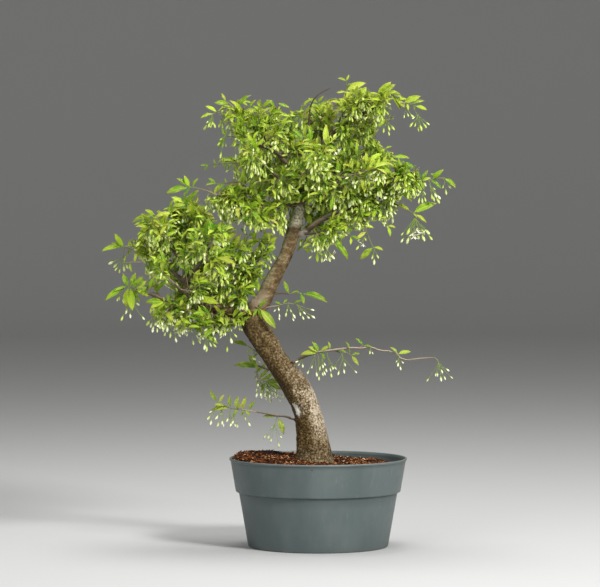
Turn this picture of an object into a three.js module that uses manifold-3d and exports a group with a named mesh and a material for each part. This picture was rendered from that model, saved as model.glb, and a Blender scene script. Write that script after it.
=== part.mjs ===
// A water jasmine bonsai in a round pot: one moulded pot, a fill of coarse chips, one piece of living
// wood that leans left and carries two pads of foliage, and the leafy sprays that grow from it.
// Millimetres, +Z up, origin at the centre of the pot's flat base. -Y is the tree's front.
import * as THREE from "three";
import { mergeVertices } from "three/addons/utils/BufferGeometryUtils.js";
import Module from "manifold-3d";

const wasm = await Module();
wasm.setup();

const pot = {
  height: 127,
  rimRadius: 127,
  baseRadius: 100,
  waist: 78, // height where the upper band steps out from the body
  waistRadius: 113.5,
  step: 4.5, // how far the band stands out at the waist
  wall: 2.4,
  floor: 3,
  bead: 4, // height of the rolled lip
  holes: 6,
  holeRadius: 6,
  holeCircle: 78,
  sides: 32,
};
const soil = { level: 122.3, fall: 5, bump: 1.1, heap: 2.2, edgeTop: 121.8 };
const foot = { x: -4.5, y: 9, radius: 29, bottom: 62, top: 119 }; // the buried end of the trunk
const GAP = 0.3; // between pieces that touch
const TRUNK_SIDES = 10;
const LIMB_SIDES = 4;
const leaf = { length: [29, 39], ratio: 0.31, stalk: 0.45, keel: 0.9, fold: 0.16, droop: 0.16 };
const bud = { length: [14, 20], belly: 1.5, stalk: 0.4, nodes: [0.52, 0.82] };
const twig = { length: [38, 56], radius: 1.35, tip: 1, steps: 2, nodes: [0.34, 0.66, 0.93] };
const SUNK = 0.45; // how deep a leaf or a bud is rooted in its twig
const STUB = 6; // how far a side shoot's stub stands out of its limb
const STUB_RADIUS = 1.7;
const LIMB_STEP = 52; // length of one straight stretch of a limb

const V = (x, y, z) => new THREE.Vector3(x, y, z);
const UP = V(0, 0, 1);
const mix = (a, b, t) => a + (b - a) * t;
const along = (point, way, distance) => point.clone().addScaledVector(way, distance);

// A seeded row of even draws from 0 to 1
function dice(seed) {
  let state = (seed * 7919 + 104729) % 4294967296;
  const draw = () => (state = (state * 1664525 + 1013904223) % 4294967296) / 4294967296;
  draw();
  draw();
  return draw;
}

// A closed geometry as a solid
function solidOf(geometry) {
  const bare = geometry.clone();
  bare.deleteAttribute("normal");
  bare.deleteAttribute("uv");
  const merged = mergeVertices(bare, 1e-4);
  return new wasm.Manifold(
    new wasm.Mesh({
      numProp: 3,
      vertProperties: new Float32Array(merged.attributes.position.array),
      triVerts: new Uint32Array(merged.index.array),
    }),
  );
}

// A solid as a named mesh
function meshOf(solid, name, material) {
  const { vertProperties, triVerts } = solid.getMesh();
  const geometry = new THREE.BufferGeometry();
  geometry.setAttribute("position", new THREE.BufferAttribute(vertProperties, 3));
  geometry.setIndex(new THREE.BufferAttribute(triVerts, 1));
  geometry.computeVertexNormals();
  const mesh = new THREE.Mesh(geometry, material);
  mesh.name = name;
  return mesh;
}

// A solid through rings of points that turn anticlockwise seen from its end. It closes with flat caps,
// or in a point where the last ring is a single point.
function loft(rings) {
  const n = rings[0].length;
  const points = rings.flat();
  const faces = [];
  for (let j = 1; j < n - 1; j++) faces.push(0, j + 1, j);
  rings.slice(1).forEach((ring, i) => {
    const a = i * n;
    const b = a + n;
    for (let j = 0; j < n; j++) {
      const k = (j + 1) % n;
      if (ring.length === 1) faces.push(a + j, a + k, b);
      else faces.push(a + j, a + k, b + k, a + j, b + k, b + j);
    }
    if (ring.length > 1 && i === rings.length - 2)
      for (let j = 1; j < n - 1; j++) faces.push(b, b + j, b + j + 1);
  });
  const geometry = new THREE.BufferGeometry().setFromPoints(points);
  geometry.setIndex(faces);
  return solidOf(geometry);
}

// Rings round a curve, whose radius at fraction t and angle a is given
function tube(curve, steps, sides, radius) {
  const { normals, binormals } = curve.computeFrenetFrames(steps, false);
  const rings = normals.map((normal, i) => {
    const centre = curve.getPointAt(i / steps);
    return Array.from({ length: sides }, (_, j) => {
      const a = (2 * Math.PI * (j + 0.5)) / sides;
      const r = radius(i / steps, a);
      return along(along(centre, normal, r * Math.cos(a)), binormals[i], r * Math.sin(a));
    });
  });
  return loft(rings);
}

// The pot: a thin shell with a step under its upper band, a rolled lip, and drain holes in its floor
function makePot() {
  const { height, rimRadius, baseRadius, waist, waistRadius, step, wall, floor, bead } = pot;
  const bandTop = height - bead;
  const profile = [
    [0, 0],
    [baseRadius - 2, 0],
    [baseRadius, 2],
    [waistRadius, waist],
    [waistRadius + step, waist + 1.5],
    [rimRadius - 1.8, bandTop],
    [rimRadius, bandTop + 1],
    [rimRadius, height - 0.8],
    [rimRadius - 0.8, height],
    [rimRadius - wall, height],
    [rimRadius - wall - 1.8, bandTop],
    [waistRadius + step - wall, waist + 2.5],
    [waistRadius - wall, waist],
    [baseRadius - wall, floor],
    [0, floor],
  ];
  const outline = profile.map(([r, z]) => new THREE.Vector2(r, z));
  const turned = new THREE.LatheGeometry(outline, pot.sides).rotateX(Math.PI / 2);
  const drill = new THREE.CylinderGeometry(pot.holeRadius, pot.holeRadius, 4 * floor, 8);
  drill.rotateX(Math.PI / 2);
  const holes = Array.from({ length: pot.holes }, (_, i) => {
    const a = (2 * Math.PI * (i + 0.5)) / pot.holes;
    const [x, y] = [pot.holeCircle * Math.cos(a), pot.holeCircle * Math.sin(a)];
    return solidOf(drill.clone().translate(x, y, 0));
  });
  return holes.reduce((body, hole) => body.subtract(hole), solidOf(turned));
}

// The height of the chips' surface: it falls to the right, heaps at the back left and is lumpy
function soilHeight(x, y) {
  const lumps = Math.sin(x / 11 + 1.3) * Math.cos(y / 9) + Math.sin(y / 14 - x / 19);
  const heap = Math.exp(-((x + 72) ** 2 + (y - 30) ** 2) / 2600);
  return soil.level - (soil.fall * x) / 110 + soil.bump * lumps + soil.heap * heap;
}

// The rings of the buried end of the trunk, grown by a margin
function footRings(heights, margin) {
  return heights.map((z) =>
    Array.from({ length: TRUNK_SIDES }, (_, j) => {
      const a = (2 * Math.PI * (j + 0.5)) / TRUNK_SIDES;
      const r = foot.radius + margin;
      return V(foot.x + r * Math.cos(a), foot.y + r * Math.sin(a), z);
    }),
  );
}

// The chips: a fill that follows the pot's inner wall, with a plain hole for the trunk
function makeSoil() {
  const { height, rimRadius, baseRadius, waist, waistRadius, step, wall, floor } = pot;
  const inner = wall + GAP;
  const bandSlope = (rimRadius - 1.8 - waistRadius - step) / (height - pot.bead - waist - 1.5);
  const ring = (r, z) =>
    Array.from({ length: pot.sides }, (_, j) => {
      const a = (2 * Math.PI * j) / pot.sides;
      return V(r * Math.cos(a), r * Math.sin(a), z ?? soilHeight(r * Math.cos(a), r * Math.sin(a)));
    });
  const edge = ring(rimRadius).map((p) => {
    const z = Math.min(soilHeight(p.x, p.y), soil.edgeTop);
    const r = waistRadius + step - inner + (z - waist - 1.5) * bandSlope;
    return V((p.x / rimRadius) * r, (p.y / rimRadius) * r, z);
  });
  const fill = loft([
    ring(baseRadius - inner, floor + GAP),
    ring(waistRadius - inner, waist),
    ring(waistRadius + step - inner, waist + 3.2),
    edge,
    ring(100),
    ring(68),
    ring(32),
  ]);
  const hole = loft(footRings([foot.bottom - GAP, height + 30], GAP + 0.05));
  return fill.subtract(hole);
}

// Centre line of the trunk above the soil, with its radius: x, y, z, radius
const trunkLine = [
  [-4.4, 9, 123, 27.2],
  [-4.6, 9, 130.6, 25.4],
  [-6, 8.6, 145, 24],
  [-9.4, 8, 165, 21.7],
  [-18.6, 6, 200, 18.9],
  [-27.5, 4, 219, 19.8],
  [-36, 2.5, 234, 19.8],
  [-50.9, 1, 254, 17.2],
  [-60.7, -1, 267, 15.9],
  [-70, -3, 283, 16.8],
  [-84, -5, 306, 18],
  [-92.5, -6, 322, 17.2],
  [-88.5, -6, 339, 14.2],
  [-79, -5, 351, 12.6],
  [-71, -4, 368.6, 11.3],
  [-60, -3, 391.5, 10.4],
  [-47.8, -1, 414, 9.2],
  [-40, 0, 436, 9.9],
  [-34.6, 0, 454, 9.2],
  [-28.9, 1, 470, 8.2],
  [-25.6, 2, 484, 6.6],
];

// The limbs. Each has its thickness at both ends, its route from inside the wood that carries it to its
// tip, and its side shoots: how far along they stand and which way they point. A bare one has no spray.
const limbs = {
  pad_leader: {
    radius: [10, 2],
    route: [[-92, -6, 326], [-123, -9, 336], [-152, -12, 342], [-173, -12, 346], [-184, -10, 355],
      [-187, -5, 372], [-190, 0, 396], [-192, 4, 421], [-186, 6, 447], [-176, 4, 462]],
    shoots: [[0.3, [0.1, -1, -0.7]], [0.8, [0.8, 0.9, 0.3]]],
  },
  pad_far_left: {
    radius: [5.5, 1.7],
    route: [[-173, -12, 346], [-194, -22, 348], [-215, -30, 352], [-238, -38, 363], [-256, -42, 366]],
    shoots: [[0.45, [-0.1, -1, -0.4]], [0.62, [-0.3, 0.9, 0.5]]],
  },
  pad_left: {
    radius: [4, 1.6],
    route: [[-187, -4, 377], [-212, 5, 393], [-234, 12, 410], [-252, 16, 422]],
    shoots: [],
  },
  pad_left_top: {
    radius: [3.6, 1.6],
    route: [[-190, 1, 403], [-206, -12, 424], [-220, -20, 443], [-230, -26, 452]],
    shoots: [],
  },
  pad_top: {
    radius: [3.4, 1.6],
    route: [[-192, 5, 424], [-199, 20, 445], [-204, 32, 464]],
    shoots: [],
  },
  pad_inner: {
    radius: [3.6, 1.6],
    route: [[-152, -12, 342], [-145, -20, 365], [-138, -26, 389], [-134, -26, 408]],
    shoots: [],
  },
  pad_right: {
    radius: [3.6, 1.6],
    route: [[-123, -9, 336], [-117, -2, 357], [-110, 8, 379], [-101, 14, 398]],
    shoots: [],
  },
  pad_front_left: {
    radius: [4, 1.6],
    route: [[-161, -12, 345], [-175, -38, 354], [-192, -62, 368], [-204, -78, 380]],
    shoots: [],
  },
  pad_rear_left: {
    radius: [4, 1.6],
    route: [[-173, -12, 346], [-184, 20, 358], [-202, 48, 375], [-216, 68, 390]],
    shoots: [],
  },
  pad_front: {
    radius: [3.6, 1.6],
    route: [[-187, -4, 377], [-173, -34, 397], [-161, -58, 418], [-154, -74, 430]],
    shoots: [],
  },
  pad_rear: {
    radius: [3.4, 1.6],
    route: [[-189, 2, 407], [-176, 30, 420], [-164, 54, 432]],
    shoots: [],
  },
  pad_low: {
    radius: [4, 1.6],
    route: [[-94, -6, 322], [-117, -14, 320], [-142, -26, 317], [-162, -34, 314]],
    shoots: [],
  },
  pad_low_left: {
    radius: [3, 1.6],
    route: [[-191, -22, 348], [-203, -38, 342], [-215, -52, 335]],
    shoots: [],
  },
  crown_leader: {
    radius: [6.2, 1.8],
    route: [[-25.8, 2, 482], [-27, 2, 497], [-25, 4, 515], [-18, 4, 535], [-6, 2, 555], [8, 0, 574],
      [22, -2, 592], [30, -3, 609]],
    shoots: [[0.5, [-1, -0.4, 0.5]], [0.84, [-0.8, 0.6, 0.4]]],
  },
  crown_top_right: {
    radius: [3.6, 1.6],
    route: [[22, -2, 593], [38, -12, 605], [55, -20, 614], [75, -26, 624], [90, -30, 629]],
    shoots: [[0.5, [0.1, -0.9, 0.6]]],
  },
  crown_right_rear: {
    radius: [3.4, 1.6],
    route: [[12, 0, 580], [45, 12, 594], [77, 18, 606], [98, 20, 610]],
    shoots: [[0.6, [0.4, 0.7, -0.6]]],
  },
  crown_right: {
    radius: [5, 1.6],
    route: [[-26, 1, 490], [-15, -2, 505], [-3, -6, 517], [12, -10, 530], [38, -14, 543], [64, -18, 549]],
    shoots: [],
  },
  crown_far_right: {
    radius: [3.8, 1.6],
    route: [[12, -10, 530], [38, -24, 528], [73, -34, 527], [109, -40, 530], [132, -42, 535]],
    shoots: [[0.6, [0.2, 0.8, 0.5]]],
  },
  low_right: {
    radius: [4.6, 1.6],
    route: [[-32, 0, 448], [-22, -4, 448], [-7, -8, 460], [10, -12, 471], [38, -18, 482], [70, -24, 488],
      [92, -27, 488]],
    shoots: [[0.55, [0.2, -0.8, 0.4]], [0.76, [0.5, 0.5, -0.7]]],
  },
  low_right_front: {
    radius: [2.6, 1.5],
    route: [[-28, -3, 447], [-12, -18, 448], [4, -30, 450]],
    shoots: [],
  },
  crown_left_low: {
    radius: [4, 1.6],
    route: [[-27, 2, 488], [-43, -8, 491], [-69, -20, 490], [-97, -30, 494], [-128, -38, 500],
      [-144, -41, 503]],
    shoots: [[0.45, [-0.3, -0.8, -0.5]], [0.7, [-0.2, 0.6, 0.8]]],
  },
  crown_left: {
    radius: [4, 1.6],
    route: [[-25, 4, 515], [-46, 14, 521], [-72, 24, 532], [-98, 32, 541], [-114, 36, 545]],
    shoots: [[0.6, [-0.2, 0.9, -0.3]]],
  },
  crown_left_high: {
    radius: [4, 1.6],
    route: [[-22, 4, 527], [-40, -6, 544], [-60, -16, 564], [-80, -22, 587], [-96, -26, 602]],
    shoots: [],
  },
  crown_left_front: {
    radius: [2.8, 1.5],
    route: [[-60, -16, 564], [-78, -34, 572], [-96, -46, 578]],
    shoots: [],
  },
  crown_rear_high: {
    radius: [3.4, 1.6],
    route: [[-18, 4, 535], [-29, 18, 560], [-40, 28, 580], [-46, 34, 594]],
    shoots: [],
  },
  bare_twig: {
    radius: [1.6, 0.7],
    route: [[-3, 2, 560], [-12, -10, 588], [-13, -14, 617], [-7, -16, 637], [2, -16, 647], [18, -15, 655]],
    shoots: [],
    bare: true,
  },
  crown_top_rear: {
    radius: [3, 1.6],
    route: [[8, 0, 574], [4, 20, 592], [2, 36, 606]],
    shoots: [],
  },
  crown_front: {
    radius: [3.6, 1.6],
    route: [[-25, 4, 515], [-17, -28, 530], [-9, -58, 543], [-3, -78, 551]],
    shoots: [],
  },
  crown_rear: {
    radius: [3.6, 1.6],
    route: [[-22, 4, 524], [-12, 34, 538], [-2, 60, 551], [4, 78, 560]],
    shoots: [],
  },
  crown_front_left: {
    radius: [3.4, 1.6],
    route: [[-26, 3, 501], [-43, -26, 514], [-60, -52, 530], [-72, -68, 542]],
    shoots: [],
  },
  crown_rear_left: {
    radius: [3.4, 1.6],
    route: [[-25, 4, 513], [-41, 32, 528], [-58, 58, 544], [-70, 74, 555]],
    shoots: [],
  },
  crown_front_right: {
    radius: [3.4, 1.6],
    route: [[-3, -6, 517], [18, -36, 523], [40, -60, 529], [54, -74, 533]],
    shoots: [],
  },
  crown_rear_right: {
    radius: [3.4, 1.6],
    route: [[12, -10, 530], [36, 22, 543], [58, 48, 555], [68, 60, 560]],
    shoots: [],
  },
  low_right_rear: {
    radius: [3, 1.6],
    route: [[10, -12, 471], [28, 18, 482], [46, 40, 489]],
    shoots: [],
  },
  long_right_twig: {
    radius: [2.6, 1.4],
    route: [[-44, 0, 261], [-36, -9, 266], [-27, -14, 271], [-9, -18, 277], [22, -22, 285], [49, -24, 286],
      [73, -25, 286], [91, -26, 283], [113, -26, 275], [131, -26, 272]],
    shoots: [[0.2, [0.3, -0.6, -0.6]], [0.33, [0.5, 0.6, -0.5]], [0.72, [0.5, -0.5, -0.4]]],
  },
  low_left_twig: {
    radius: [2.2, 1.4],
    route: [[-24, 6, 174], [-38, 3, 180], [-50, 0, 185], [-66, -4, 190], [-88, -8, 195]],
    shoots: [[0.45, [0.1, -0.4, -1]]],
  },
  rear_left_twig: {
    radius: [2.4, 1.4],
    route: [[-60, 2, 250], [-67, 16, 252], [-76, 24, 253], [-86, 30, 257]],
    shoots: [],
  },
  mid_right_twig: {
    radius: [2, 1.4],
    route: [[-68, 0, 362], [-56, 6, 362], [-42, 11, 361]],
    shoots: [],
  },
};

// A point, a direction and a length for each spray
function sprayStarts() {
  const starts = [];
  for (const [name, limb] of Object.entries(limbs)) {
    if (limb.bare) continue;
    const curve = curveOf(limb.route);
    starts.push({ name, point: curve.getPointAt(1), way: curve.getTangentAt(1) });
    limb.shoots.forEach(([t, way], i) => {
      const heading = V(...way).normalize();
      const reach = mix(...limb.radius, t) + STUB;
      const point = along(curve.getPointAt(t), heading, reach);
      starts.push({ name: name + "_" + (i + 2), point, way: heading });
    });
  }
  return starts;
}

function curveOf(route) {
  return new THREE.CatmullRomCurve3(route.map((p) => V(...p)), false, "centripetal");
}

// The wood: foot, trunk, limbs and the stubs of the side shoots, all one piece
function makeWood() {
  const ripple = (z, a) => 1 + 0.045 * Math.sin(3 * a + z / 31) + 0.03 * Math.sin(5 * a - z / 17);
  const turn = (x, y, z, r, lean) =>
    Array.from({ length: TRUNK_SIDES }, (_, j) => {
      const a = (2 * Math.PI * (j + 0.5)) / TRUNK_SIDES;
      const across = r * ripple(z, a) * Math.cos(a);
      return V(x + across * Math.cos(lean), y + r * ripple(z, a) * Math.sin(a), z + across * Math.sin(lean));
    });
  const rings = trunkLine.map(([x, y, z, r], i) => {
    const [before, after] = [trunkLine[Math.max(i - 1, 0)], trunkLine[Math.min(i + 1, trunkLine.length - 1)]];
    const lean = i === 0 ? 0 : Math.atan2(before[0] - after[0], after[2] - before[2]);
    return turn(x, y, z, r, lean);
  });
  const trunk = loft([...footRings([foot.bottom, foot.top], 0), ...rings]);
  const parts = [trunk];
  for (const limb of Object.values(limbs)) {
    const curve = curveOf(limb.route);
    const steps = Math.max(2, Math.round(curve.getLength() / LIMB_STEP));
    parts.push(tube(curve, steps, LIMB_SIDES, (t) => mix(...limb.radius, t)));
    for (const [t, way] of limb.shoots) {
      const heading = V(...way).normalize();
      const root = curve.getPointAt(t);
      const stub = new THREE.LineCurve3(root, along(root, heading, mix(...limb.radius, t) + STUB));
      parts.push(tube(stub, 1, 3, () => STUB_RADIUS));
    }
  }
  return wasm.Manifold.union(parts);
}

// A leaf: a narrow pointed blade on a short stalk, keeled below, its tip bent down
function makeLeaf(root, ahead, length) {
  const side = UP.clone().cross(ahead).normalize();
  const normal = ahead.clone().cross(side);
  const half = (length * leaf.ratio) / 2;
  const stations = [[0, leaf.stalk, leaf.stalk], [0.36, half, leaf.keel], [0.7, 0.68 * half, leaf.keel]];
  const centre = (s) => along(along(root, ahead, length * s), normal, -leaf.droop * length * s * s);
  const rings = stations.map(([s, w, depth]) => {
    const raised = along(centre(s), normal, leaf.fold * w);
    return [along(raised, side, w), along(raised, side, -w), along(centre(s), normal, -depth)];
  });
  return loft([...rings, [centre(1)]]);
}

// A bud on its thread of a stalk, hanging
function makeBud(root, ahead, length) {
  const side = V(-ahead.y, ahead.x, 0.01).normalize();
  const normal = ahead.clone().cross(side);
  const ring = (s, r) =>
    [0, 1, 2].map((j) => {
      const a = (2 * Math.PI * j) / 3;
      return along(along(along(root, ahead, s * length), side, r * Math.cos(a)), normal, r * Math.sin(a));
    });
  return loft([ring(0, bud.stalk), ring(0.74, bud.belly), [along(root, ahead, length)]]);
}

// The twig of a spray: a curve that leaves its stub straight and then spreads, square in section, with
// one pair of its faces turned to the sides and the other up and down
function makeTwig(start, draw) {
  const length = mix(...twig.length, draw());
  const spread = V(draw() - 0.5, draw() - 0.5, 0.6 * draw() - 0.2);
  const end = along(along(start.point, start.way, length), spread, 0.5 * length);
  const from = along(start.point, start.way, GAP);
  const curve = new THREE.QuadraticBezierCurve3(from, along(from, start.way, 0.5 * length), end);
  const upright = Math.abs(start.way.z) > 0.9 ? V(1, 0, 0) : UP;
  const frames = Array.from({ length: twig.steps + 1 }, (_, i) => {
    const ahead = curve.getTangentAt(i / twig.steps);
    const side = ahead.clone().cross(upright).normalize();
    return { centre: curve.getPointAt(i / twig.steps), ahead, side, rise: side.clone().cross(ahead) };
  });
  const frameAt = (t) => {
    const i = Math.min(Math.floor(t * twig.steps), twig.steps - 1);
    const between = (key) => frames[i][key].clone().lerp(frames[i + 1][key], t * twig.steps - i);
    const [centre, ahead, side, rise] = ["centre", "ahead", "side", "rise"].map(between);
    return { centre, ahead, side, rise };
  };
  const rings = frames.map(({ centre, side, rise }, i) => {
    const half = mix(twig.radius, twig.tip, i / twig.steps) * Math.SQRT1_2;
    const corners = [[-1, -1], [-1, 1], [1, 1], [1, -1]];
    return corners.map(([m, n]) => along(along(centre, side, m * half), rise, n * half));
  });
  return { frameAt, solid: loft(rings) };
}

// The places of a spray's leaves and buds: pairs of leaves at right angles to the pair before, and buds
// that hang between them and at the tip. Each stands on the middle of a face of the twig.
function planSpray(frameAt, draw) {
  const leaves = [];
  const buds = [];
  const seat = (t, face) => {
    const depth = mix(twig.radius, twig.tip, t) * Math.SQRT1_2 - SUNK;
    return along(frameAt(t).centre, face, depth);
  };
  twig.nodes.forEach((t, pair) => {
    const { ahead, side, rise } = frameAt(t);
    for (const sign of [1, -1]) {
      const face = (pair % 2 ? rise : side).clone().multiplyScalar(sign);
      const across = (pair % 2 ? side : rise).clone().multiplyScalar(0.7 * (draw() - 0.5));
      const way = face.clone().add(across).addScaledVector(ahead, 0.8).addScaledVector(UP, 0.15).normalize();
      leaves.push({ root: seat(t, face), ahead: way, length: mix(...leaf.length, draw()), axis: ahead });
    }
  });
  const hang = (root, face) => {
    const a = 2 * Math.PI * draw();
    const way = V(0.4 * Math.cos(a), 0.4 * Math.sin(a), -1).addScaledVector(face, 0.5).normalize();
    buds.push({ root, ahead: way, length: mix(...bud.length, draw()), axis: UP });
  };
  for (const t of bud.nodes) {
    const { side, rise } = frameAt(t);
    const faces = [rise.clone().negate(), side, side.clone().negate()];
    const face = faces[Math.floor(3 * draw())];
    hang(seat(t, face), face);
  }
  const tip = frameAt(1);
  hang(along(tip.centre, tip.ahead, -SUNK), tip.ahead);
  return { leaves, buds };
}

const boxed = (solid) => {
  const { min, max } = solid.boundingBox();
  return { solid, box: new THREE.Box3(V(...min), V(...max)).expandByScalar(0.2) };
};
const clearOf = ({ solid, box }, others) =>
  others.every((other) => !box.intersectsBox(other.box) || solid.intersect(other.solid).isEmpty());

// The first of a start's seeded twigs that stands clear of the other pieces
function growTwig(start, draw, others) {
  for (let tries = 0; tries < 30; tries++) {
    const { frameAt, solid } = makeTwig(start, draw);
    const stem = boxed(solid);
    if (clearOf(stem, others)) return { name: start.name, draw, frameAt, stem };
  }
  throw new Error(start.name + ": no room for its twig");
}

// A spray: its twig with the leaves and buds that stand clear of all the other pieces and of each other.
// One that would cross something is turned aside, and left out if there is no room for it.
function makeSpray({ name, draw, frameAt, stem }, others) {
  const { leaves, buds } = planSpray(frameAt, draw);
  const own = [];
  const place = (make, { root, ahead, length, axis }, turns) => {
    for (const turn of turns) {
      const piece = boxed(make(root, ahead.clone().applyAxisAngle(axis, turn), length));
      if (!clearOf(piece, others) || !clearOf(piece, own)) continue;
      own.push(piece);
      return;
    }
  };
  leaves.forEach((one) => place(makeLeaf, one, [0, 0.4, -0.4, 0.8, -0.8]));
  buds.forEach((one) => place(makeBud, one, [0, 0.7, -0.7, 1.4, -1.4]));
  const bodies = wasm.Manifold.union([stem.solid, ...own.map((piece) => piece.solid)]).decompose();
  if (bodies.length > 1) console.warn(name + ": " + (bodies.length - 1) + " loose scraps left out");
  return bodies.sort((a, b) => b.volume() - a.volume())[0];
}

const plastic = new THREE.MeshStandardMaterial({ color: 0x5c6968, roughness: 0.45, metalness: 0 });
const chips = new THREE.MeshStandardMaterial({ color: 0x82462d, roughness: 0.95, metalness: 0 });
const bark = new THREE.MeshStandardMaterial({ color: 0x8a7c6b, roughness: 0.9, metalness: 0 });
const foliage = new THREE.MeshStandardMaterial({ color: 0x7fa32a, roughness: 0.5, metalness: 0 });

const bonsai = new THREE.Group();
const [container, fill, wood] = [makePot(), makeSoil(), makeWood()];
bonsai.add(meshOf(container, "pot", plastic));
bonsai.add(meshOf(fill, "soil", chips));
bonsai.add(meshOf(wood, "trunk", bark));

const fixtures = [container, fill, wood].map(boxed);
const twigs = [];
sprayStarts().forEach((start, i) => {
  twigs.push(growTwig(start, dice(i + 1), [...fixtures, ...twigs.map((one) => one.stem)]));
});
const sprays = [];
for (const one of twigs) {
  const stems = twigs.filter((other) => other !== one).map((other) => other.stem);
  const solid = makeSpray(one, [...fixtures, ...stems, ...sprays]);
  sprays.push(boxed(solid));
  bonsai.add(meshOf(solid, "spray_" + one.name, foliage));
}

export default bonsai;
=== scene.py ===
# A water jasmine bonsai in a round pot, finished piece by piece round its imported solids.
# Metres, +Z up, the origin at the centre of the pot's flat base, the tree's front towards -Y.
# The tables of routes and outlines are in millimetres.
import math
import random

import bmesh
import bpy
from mathutils import Matrix, Vector, kdtree, noise


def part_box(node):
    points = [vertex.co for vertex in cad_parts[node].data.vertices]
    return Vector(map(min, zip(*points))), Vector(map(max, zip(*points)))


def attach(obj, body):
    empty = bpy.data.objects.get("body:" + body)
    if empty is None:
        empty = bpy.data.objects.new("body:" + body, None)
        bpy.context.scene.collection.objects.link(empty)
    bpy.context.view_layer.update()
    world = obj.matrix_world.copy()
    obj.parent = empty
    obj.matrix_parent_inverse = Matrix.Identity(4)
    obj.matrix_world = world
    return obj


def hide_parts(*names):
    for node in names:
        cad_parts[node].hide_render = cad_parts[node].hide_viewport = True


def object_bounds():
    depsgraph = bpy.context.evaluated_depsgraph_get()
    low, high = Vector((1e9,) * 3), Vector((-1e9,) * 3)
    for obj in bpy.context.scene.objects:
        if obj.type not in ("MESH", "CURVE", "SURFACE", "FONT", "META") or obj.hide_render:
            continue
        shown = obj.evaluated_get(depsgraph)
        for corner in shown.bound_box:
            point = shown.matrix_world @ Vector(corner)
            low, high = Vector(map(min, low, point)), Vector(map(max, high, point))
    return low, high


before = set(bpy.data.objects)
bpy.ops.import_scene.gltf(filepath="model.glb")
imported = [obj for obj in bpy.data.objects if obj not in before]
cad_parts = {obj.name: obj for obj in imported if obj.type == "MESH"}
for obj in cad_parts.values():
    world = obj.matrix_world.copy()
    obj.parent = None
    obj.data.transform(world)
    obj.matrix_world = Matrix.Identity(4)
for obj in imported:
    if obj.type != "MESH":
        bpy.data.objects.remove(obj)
cad_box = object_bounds()


# The studio: the photograph's viewpoint, five metres in front of the tree through a long lens, a pale
# floor that curves up into a round wall, and soft lights. The strongest stands high in front, to the
# right. None of it is part of the object.
scene = bpy.context.scene
scene.view_settings.view_transform = "Standard"

eye = Vector((-0.026, -5.0, 0.55))
aim = Vector((-0.026, 0, 0.362))
lens = bpy.data.cameras.new("camera")
lens.lens = 210.1
lens.sensor_width = 36
lens.clip_end = 60
camera = bpy.data.objects.new("camera", lens)
camera.location = eye
camera.rotation_euler = (aim - eye).to_track_quat("-Z", "Y").to_euler()
scene.collection.objects.link(camera)
scene.camera = camera


def mesh_object(name, points, faces, edges=()):
    """An object in the scene with this mesh"""
    mesh = bpy.data.meshes.new(name)
    mesh.from_pydata([tuple(p) for p in points], edges, faces)
    mesh.update()
    made = bpy.data.objects.new(name, mesh)
    scene.collection.objects.link(made)
    return made


def ring_faces(rings, sides):
    """The faces between rings of points, which are given by number. A ring may be a single point."""
    faces = []
    for low, high in zip(rings, rings[1:]):
        for j in range(sides):
            k = (j + 1) % sides
            corners = [low[j % len(low)], low[k % len(low)], high[k % len(high)], high[j % len(high)]]
            faces.append(list(dict.fromkeys(corners)))
    return faces


def turned(name, outline, sides):
    """A shape turned on the Z axis from radii and heights. It is closed where the radius is nought."""
    points, rings = [], []
    for radius, height in outline:
        count = sides if radius > 0 else 1
        rings.append([len(points) + j for j in range(count)])
        for j in range(count):
            a = 2 * math.pi * j / sides
            points.append((radius * math.cos(a), radius * math.sin(a), height))
    return mesh_object(name, points, ring_faces(rings, sides))


def add(tree, kind, inputs=None, **settings):
    """A node with its settings, and its inputs set to values or joined to other nodes' outputs"""
    node = tree.nodes.new(kind)
    for key, value in settings.items():
        setattr(node, key, value)
    for key, value in (inputs or {}).items():
        if isinstance(value, bpy.types.NodeSocket):
            tree.links.new(value, node.inputs[key])
        else:
            node.inputs[key].default_value = value
    return node


def new_material(name, settings):
    """A material with its node tree and its Principled shader, whose sockets take the settings"""
    made = bpy.data.materials.new(name)
    made.use_nodes = True
    shader = made.node_tree.nodes["Principled BSDF"]
    for key, value in settings.items():
        shader.inputs[key].default_value = value
    return made, made.node_tree, shader


def ramp(tree, factor, stops):
    """A colour ramp through stops of position and colour"""
    node = add(tree, "ShaderNodeValToRGB", {"Fac": factor})
    band = node.color_ramp.elements
    while len(band) < len(stops):
        band.new(0.5)
    for element, (position, colour) in zip(band, stops):
        element.position = position
        element.color = (*colour, 1)
    return node.outputs["Color"]


FLOOR_RADIUS = 6.2
SWEEP = 3.0  # radius of the curve from the floor into the wall
SWEEP_STEPS = 16
WALL_TOP = 6.0
sweep = [(0, 0), (1, 0), (2.5, 0), (FLOOR_RADIUS, 0)]
for i in range(1, SWEEP_STEPS + 1):
    a = math.pi / 2 * i / SWEEP_STEPS
    sweep.append((FLOOR_RADIUS + SWEEP * math.sin(a), SWEEP * (1 - math.cos(a))))
sweep.append((FLOOR_RADIUS + SWEEP, WALL_TOP))
floor = turned("studio_floor", sweep, 96)
floor.data.flip_normals()
floor.data.shade_smooth()
paper, tree, shader = new_material("studio_paper", {"Roughness": 0.95})
paper_noise = add(tree, "ShaderNodeTexNoise", {"Scale": 1.4, "Detail": 2})
paper_colour = ramp(tree, paper_noise.outputs["Fac"], [(0.3, (0.5, 0.51, 0.52)), (0.7, (0.54, 0.55, 0.56))])
tree.links.new(paper_colour, shader.inputs["Base Color"])
floor.data.materials.append(paper)

world = bpy.data.worlds.new("studio_air")
world.use_nodes = True
air = world.node_tree.nodes["Background"].inputs
air["Color"].default_value = (1, 0.98, 0.91, 1)
air["Strength"].default_value = 0.24
scene.world = world


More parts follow.
